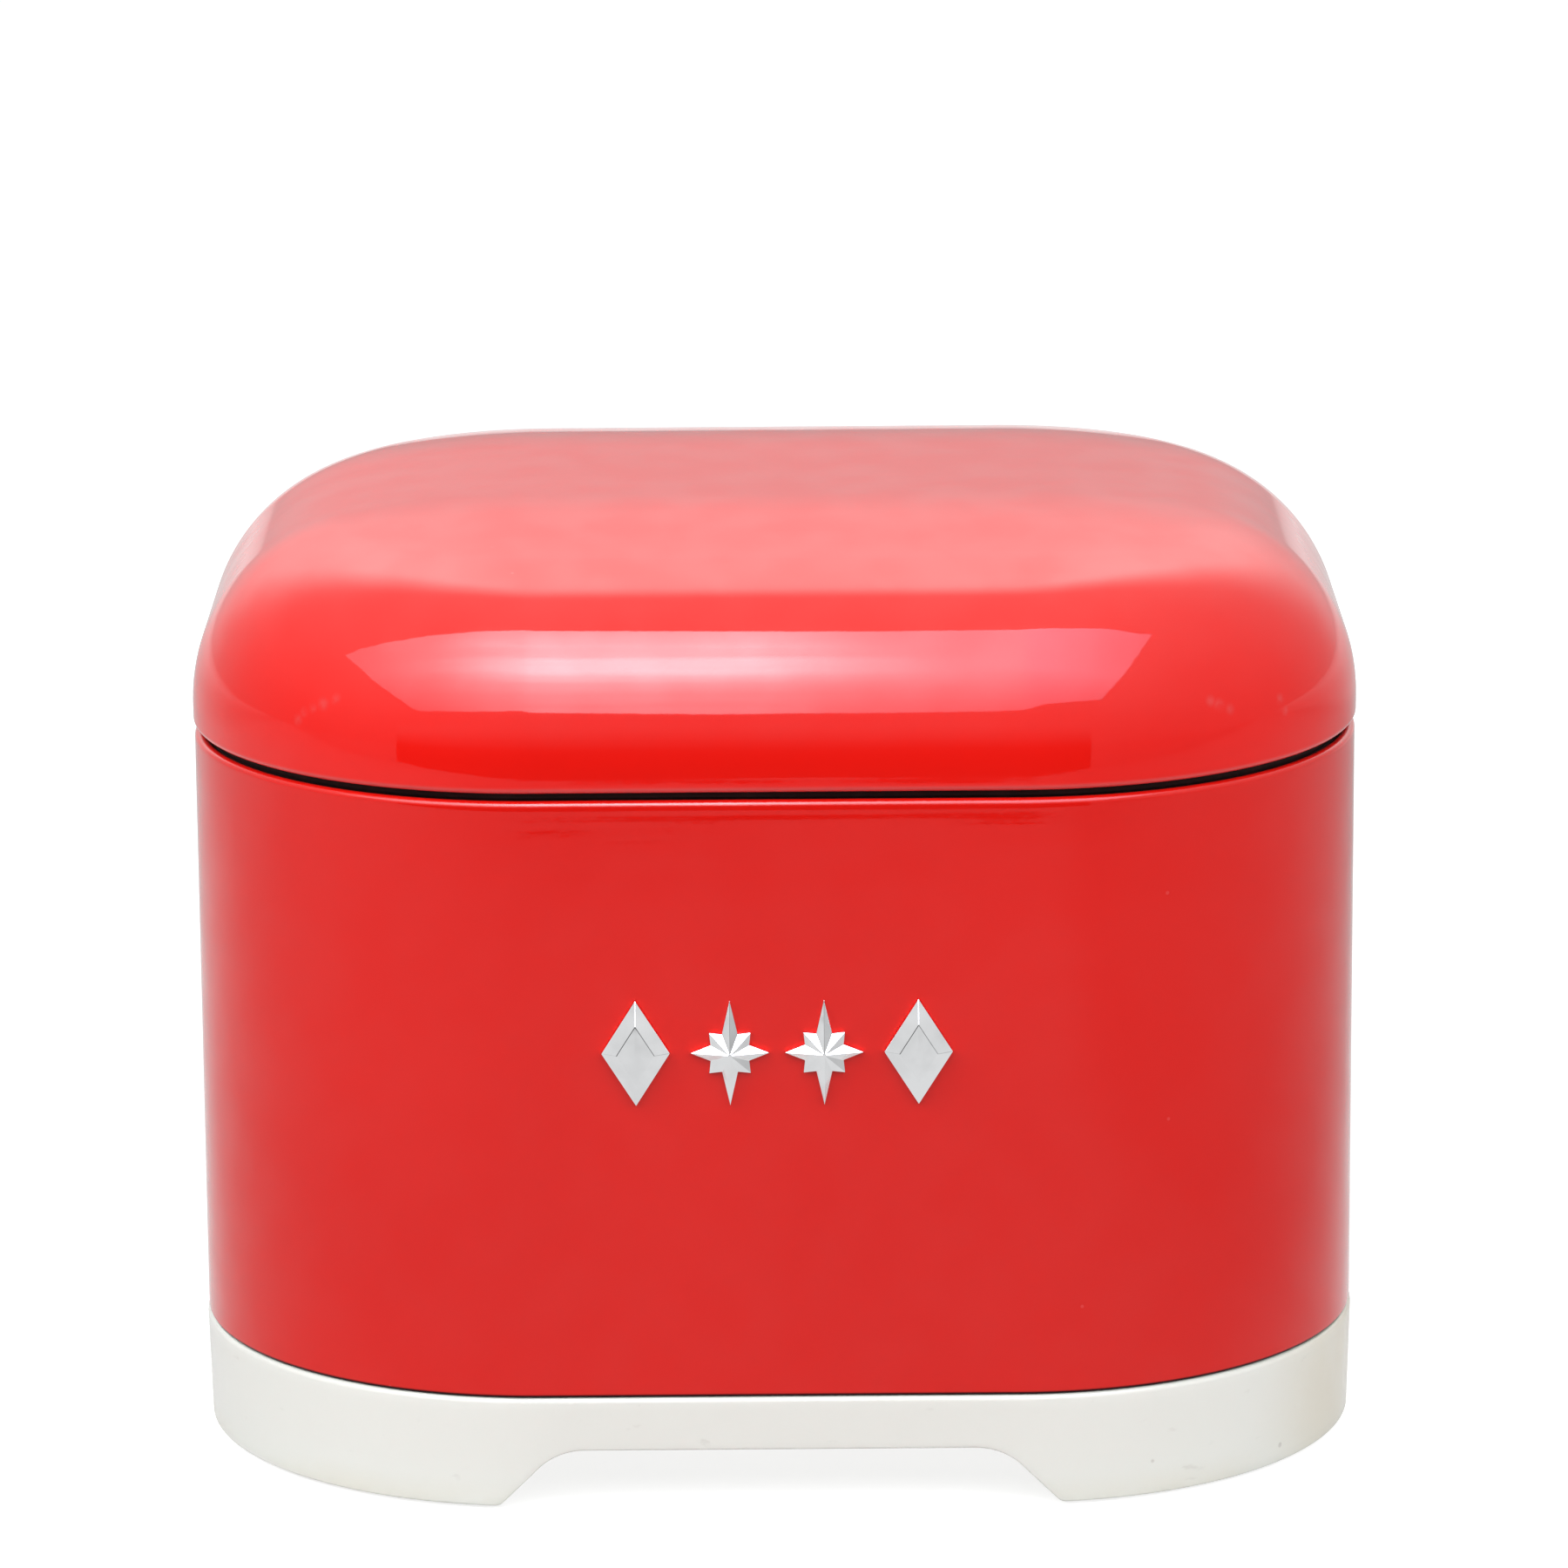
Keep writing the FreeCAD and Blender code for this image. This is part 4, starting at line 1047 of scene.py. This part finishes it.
# Front of the soft box, right and up from its middle, and its glow along both directions.
PANEL_OUTLINE = ((-1.36, 0.42), (-0.68, -0.43), (-0.30, -0.42), (0.0, -0.395), (0.13, -0.463),
                 (0.19, -0.455), (0.39, -0.35), (0.77, -0.255), (1.02, 0.75), (0.92, 0.70),
                 (0.63, 0.65), (0.28, 0.54), (0.12, 0.485), (0.09, 0.468), (-0.08, 0.50),
                 (-0.43, 0.465), (-0.79, 0.445))
GLOW_ACROSS = ((-0.90, 0.0), (-0.55, 0.07), (-0.27, 0.31), (-0.03, 0.69), (0.02, 0.96),
               (0.08, 0.97), (0.115, 0.38), (0.16, 0.05), (0.22, 0.0))
GLOW_UP = ((-0.40, 0.24), (-0.22, 0.22), (-0.10, 0.47), (0.02, 0.93), (0.13, 1.0),
           (0.18, 0.62), (0.32, 0.63), (0.46, 0.34))


def panel_material(strength):
    """Front of the soft box: weaker towards its ends and lower edge, brightest near the middle.

    The bright middle is a ramp across, slanted a little, times a ramp upwards.
    """
    f = Finish("soft_box_front")
    parts = f.node("ShaderNodeSeparateXYZ", Vector=f.node("ShaderNodeUVMap").outputs[0])
    across, up = parts.outputs["X"], parts.outputs["Y"]
    even = f.maths("MULTIPLY",
                   f.span(f.maths("ABSOLUTE", across), 0.20, 1.15, 6.0, 2.8, smooth=False),
                   f.span(up, -0.45, 0.05, 0.42, 1.0, smooth=False))
    slanted = f.maths("ADD", across, f.span(up, -0.43, 0.57, -0.05, 0.05, smooth=False))
    ripple = f.noise(1.0, 2.0, f.stretched((2.0, 5.0, 16.0)))
    bright = f.maths("MULTIPLY", f.stops(slanted, GLOW_ACROSS), f.stops(up, GLOW_UP))
    bright = f.maths("MULTIPLY", bright, f.span(ripple, 0.3, 0.7, 11.0, 14.0))
    tint = f.blend(f.span(slanted, 0.06, 0.30), (0.88, 0.905, 1.0), (0.86, 0.87, 1.08))
    lamp = f.node("ShaderNodeEmission", Color=tint,
                  Strength=f.maths("MULTIPLY", f.maths("ADD", even, bright), strength))
    f.node("ShaderNodeOutputMaterial", Surface=lamp.outputs[0])
    return f.material


def gloss_only(thing):
    """Hides a stage sheet from all but glossy reflections."""
    thing.visible_camera = False
    thing.visible_diffuse = False
    thing.visible_transmission = False
    thing.visible_volume_scatter = False
    thing.visible_shadow = False


# Brightness of the room by height of the direction: behind the tin and elsewhere.
ROOM_TOP = 7.0
ROOM_BACK = ((0.0, 0.44), (0.18, 0.65), (0.32, 0.95), (0.45, 1.36), (0.55, 1.80), (0.73, 3.0),
             (0.85, 4.25), (0.93, 5.6), (1.0, 6.3))
ROOM_SIDE = ((0.0, 0.54), (0.2, 0.70), (0.5, 1.0), (0.87, 1.62), (0.95, 1.9), (1.0, 2.03))
WEDGE_SLOPES = (1.2, 0.0, 0.22)


def room_light(studio):
    """World light of a bright room: a wedge of strong light high up behind the tin.

    A direction lies in the wedge where its y exceeds the root of (0.22 z)^2 + (1.2 x)^2. The stage
    keeps this light off matt surfaces, which the lamps light.
    """
    world = bpy.data.worlds.new("studio_room")
    world.use_nodes = True
    n = Nodes(world.node_tree, "Generated")
    reach = n.vectors("LENGTH", n.vectors("MULTIPLY", n.place, WEDGE_SLOPES)["Vector"])["Value"]
    wedge = n.span(n.maths("DIVIDE", n.axis("Y"), reach), 0.55, 1.45)
    aside = n.maths("ABSOLUTE", n.axis("X"))
    raised = n.node("ShaderNodeVectorMath", {"operation": "SCALE"},
                    Vector=n.stops(n.axis("Z"), ROOM_BACK, ROOM_TOP),
                    Scale=n.span(aside, 0.05, 0.45, 1.0, 1.55, smooth=False))
    light = n.blend(wedge, n.stops(n.axis("Z"), ROOM_SIDE, ROOM_TOP), raised.outputs["Vector"])
    sky = n.node("ShaderNodeBackground", Color=light, Strength=ROOM_TOP * studio.room)
    n.node("ShaderNodeOutputWorld", Surface=sky.outputs[0])
    return world


def bearing_point(target, azimuth, elevation, distance):
    """The point at a bearing from a target; azimuth 0 is the front, elevation is upwards."""
    a, e = math.radians(azimuth), math.radians(elevation)
    way = Vector((math.sin(a) * math.cos(e), -math.cos(a) * math.cos(e), math.sin(e)))
    return Vector(target) + way * distance


def soft_box(name, target, bearing, width, height, radiance):
    """A rectangular lamp facing the target; its power is radiance times pi times area."""
    lamp = bpy.data.lights.new(name, "AREA")
    lamp.shape = "RECTANGLE"
    lamp.size, lamp.size_y = width, height
    lamp.energy = radiance * math.pi * width * height
    made = bpy.data.objects.new(name, lamp)
    made.location = bearing_point(target, *bearing)
    made.rotation_euler = (Vector(target) - made.location).to_track_quat("-Z", "Y").to_euler()
    bpy.context.scene.collection.objects.link(made)
    made.visible_camera = False
    return made


STAGE_TARGET = (0.0, -0.05, 0.19)
PANEL_BEARING = (-8.0, 45.0, 1.0)
# Each lamp's level, its azimuth, elevation and distance from the target, its width and height.
LAMPS = (("key", (-6.0, 45.0, 1.05), 3.2, 0.94),
         ("side_left", (-75.0, 35.0, 1.2), 0.8, 0.94),
         ("side_right", (75.0, 8.0, 1.2), 0.8, 0.6),
         ("back", (180.0, 42.0, 1.3), 2.4, 0.94))


class TIN_OT_stage(bpy.types.Operator):
    """Set up the floor, the room light, the soft box and the camera"""

    bl_idname = "tin.stage"
    bl_label = "Studio"

    def execute(self, context):
        scene, studio = context.scene, context.scene.tin_studio
        scene.view_settings.view_transform = "Standard"
        low, high = (-STAGE_HALF, -STAGE_HALF), (STAGE_HALF, STAGE_HALF)
        sheet("studio_floor", rectangle(low, high, lambda x, y: (x, y, 0)),
              floor_material(studio))
        gloss_only(sheet("grey_card", rectangle(low, high, lambda x, y: (x, y, CARD_LIFT)),
                         card_material("grey_card", "Y", FLOOR_CARD, studio.cards, GREY_RIGHT)))
        gloss_only(sheet("dark_card", rectangle(DARK_CARD_LOW, DARK_CARD_HIGH,
                                                lambda x, z: (x, DARK_CARD_Y, z)),
                         card_material("dark_card", "Z", FRONT_CARD, studio.cards)))
        scene.world = room_light(studio)
        scene.world.cycles_visibility.diffuse = False

        target = Vector(STAGE_TARGET)
        for name, bearing, width, depth in LAMPS:
            lamp = soft_box(f"soft_box_{name}", target, bearing, width, depth,
                            getattr(studio, name))
            lamp.visible_glossy = False
        middle = bearing_point(target, *PANEL_BEARING)
        across = Vector((0, 0, 1)).cross(middle - target).normalized()
        upward = (middle - target).cross(across).normalized()
        gloss_only(sheet("soft_box_panel",
                         [middle + u * across + v * upward for u, v in PANEL_OUTLINE],
                         panel_material(studio.panel), PANEL_OUTLINE))

        camera = bpy.data.objects.new("camera", bpy.data.cameras.new("camera"))
        camera.data.lens = studio.camera_lens
        camera.data.sensor_width = 36.0
        camera.data.clip_end = 100.0
        turn = Matrix.Rotation(-studio.camera_turn, 4, "Z")
        tilt = Matrix.Rotation(math.pi / 2 - studio.camera_tilt, 4, "X")
        roll = Matrix.Rotation(-studio.camera_roll, 4, "Z")
        camera.matrix_world = Matrix.Translation(studio.camera_place) @ turn @ tilt @ roll
        scene.collection.objects.link(camera)
        scene.camera = camera
        return {"FINISHED"}


BUILDERS = (TIN_OT_lid, TIN_OT_lid_fittings, TIN_OT_body, TIN_OT_bottom, TIN_OT_plinth,
            TIN_OT_ornaments, TIN_OT_hardware, TIN_OT_stage)


class TIN_PT_panel(bpy.types.Panel):
    """Sidebar panel with the builders and the values they use"""

    bl_idname = "TIN_PT_panel"
    bl_label = "Domed Cake Tin"
    bl_space_type = "VIEW_3D"
    bl_region_type = "UI"
    bl_category = "Cake Tin"

    def draw(self, context):
        layout = self.layout
        for builder in BUILDERS:
            layout.operator(builder.bl_idname)
        for title, values in (("Sizes", context.scene.tin_sizes),
                              ("Colours", context.scene.tin_colours),
                              ("Studio", context.scene.tin_studio)):
            box = layout.box()
            box.label(text=title)
            for name in values.__annotations__:
                box.prop(values, name)


CLASSES = (TinSizes, TinColours, StudioSettings, *BUILDERS, TIN_PT_panel)


def register():
    for cls in CLASSES:
        bpy.utils.register_class(cls)
    bpy.types.Scene.tin_sizes = PointerProperty(type=TinSizes)
    bpy.types.Scene.tin_colours = PointerProperty(type=TinColours)
    bpy.types.Scene.tin_studio = PointerProperty(type=StudioSettings)


def unregister():
    del bpy.types.Scene.tin_sizes
    del bpy.types.Scene.tin_colours
    del bpy.types.Scene.tin_studio
    for cls in reversed(CLASSES):
        bpy.utils.unregister_class(cls)


def main():
    register()
    for builder in BUILDERS:
        group, name = builder.bl_idname.split(".")
        getattr(getattr(bpy.ops, group), name)()


if __name__ == "__main__":
    main()
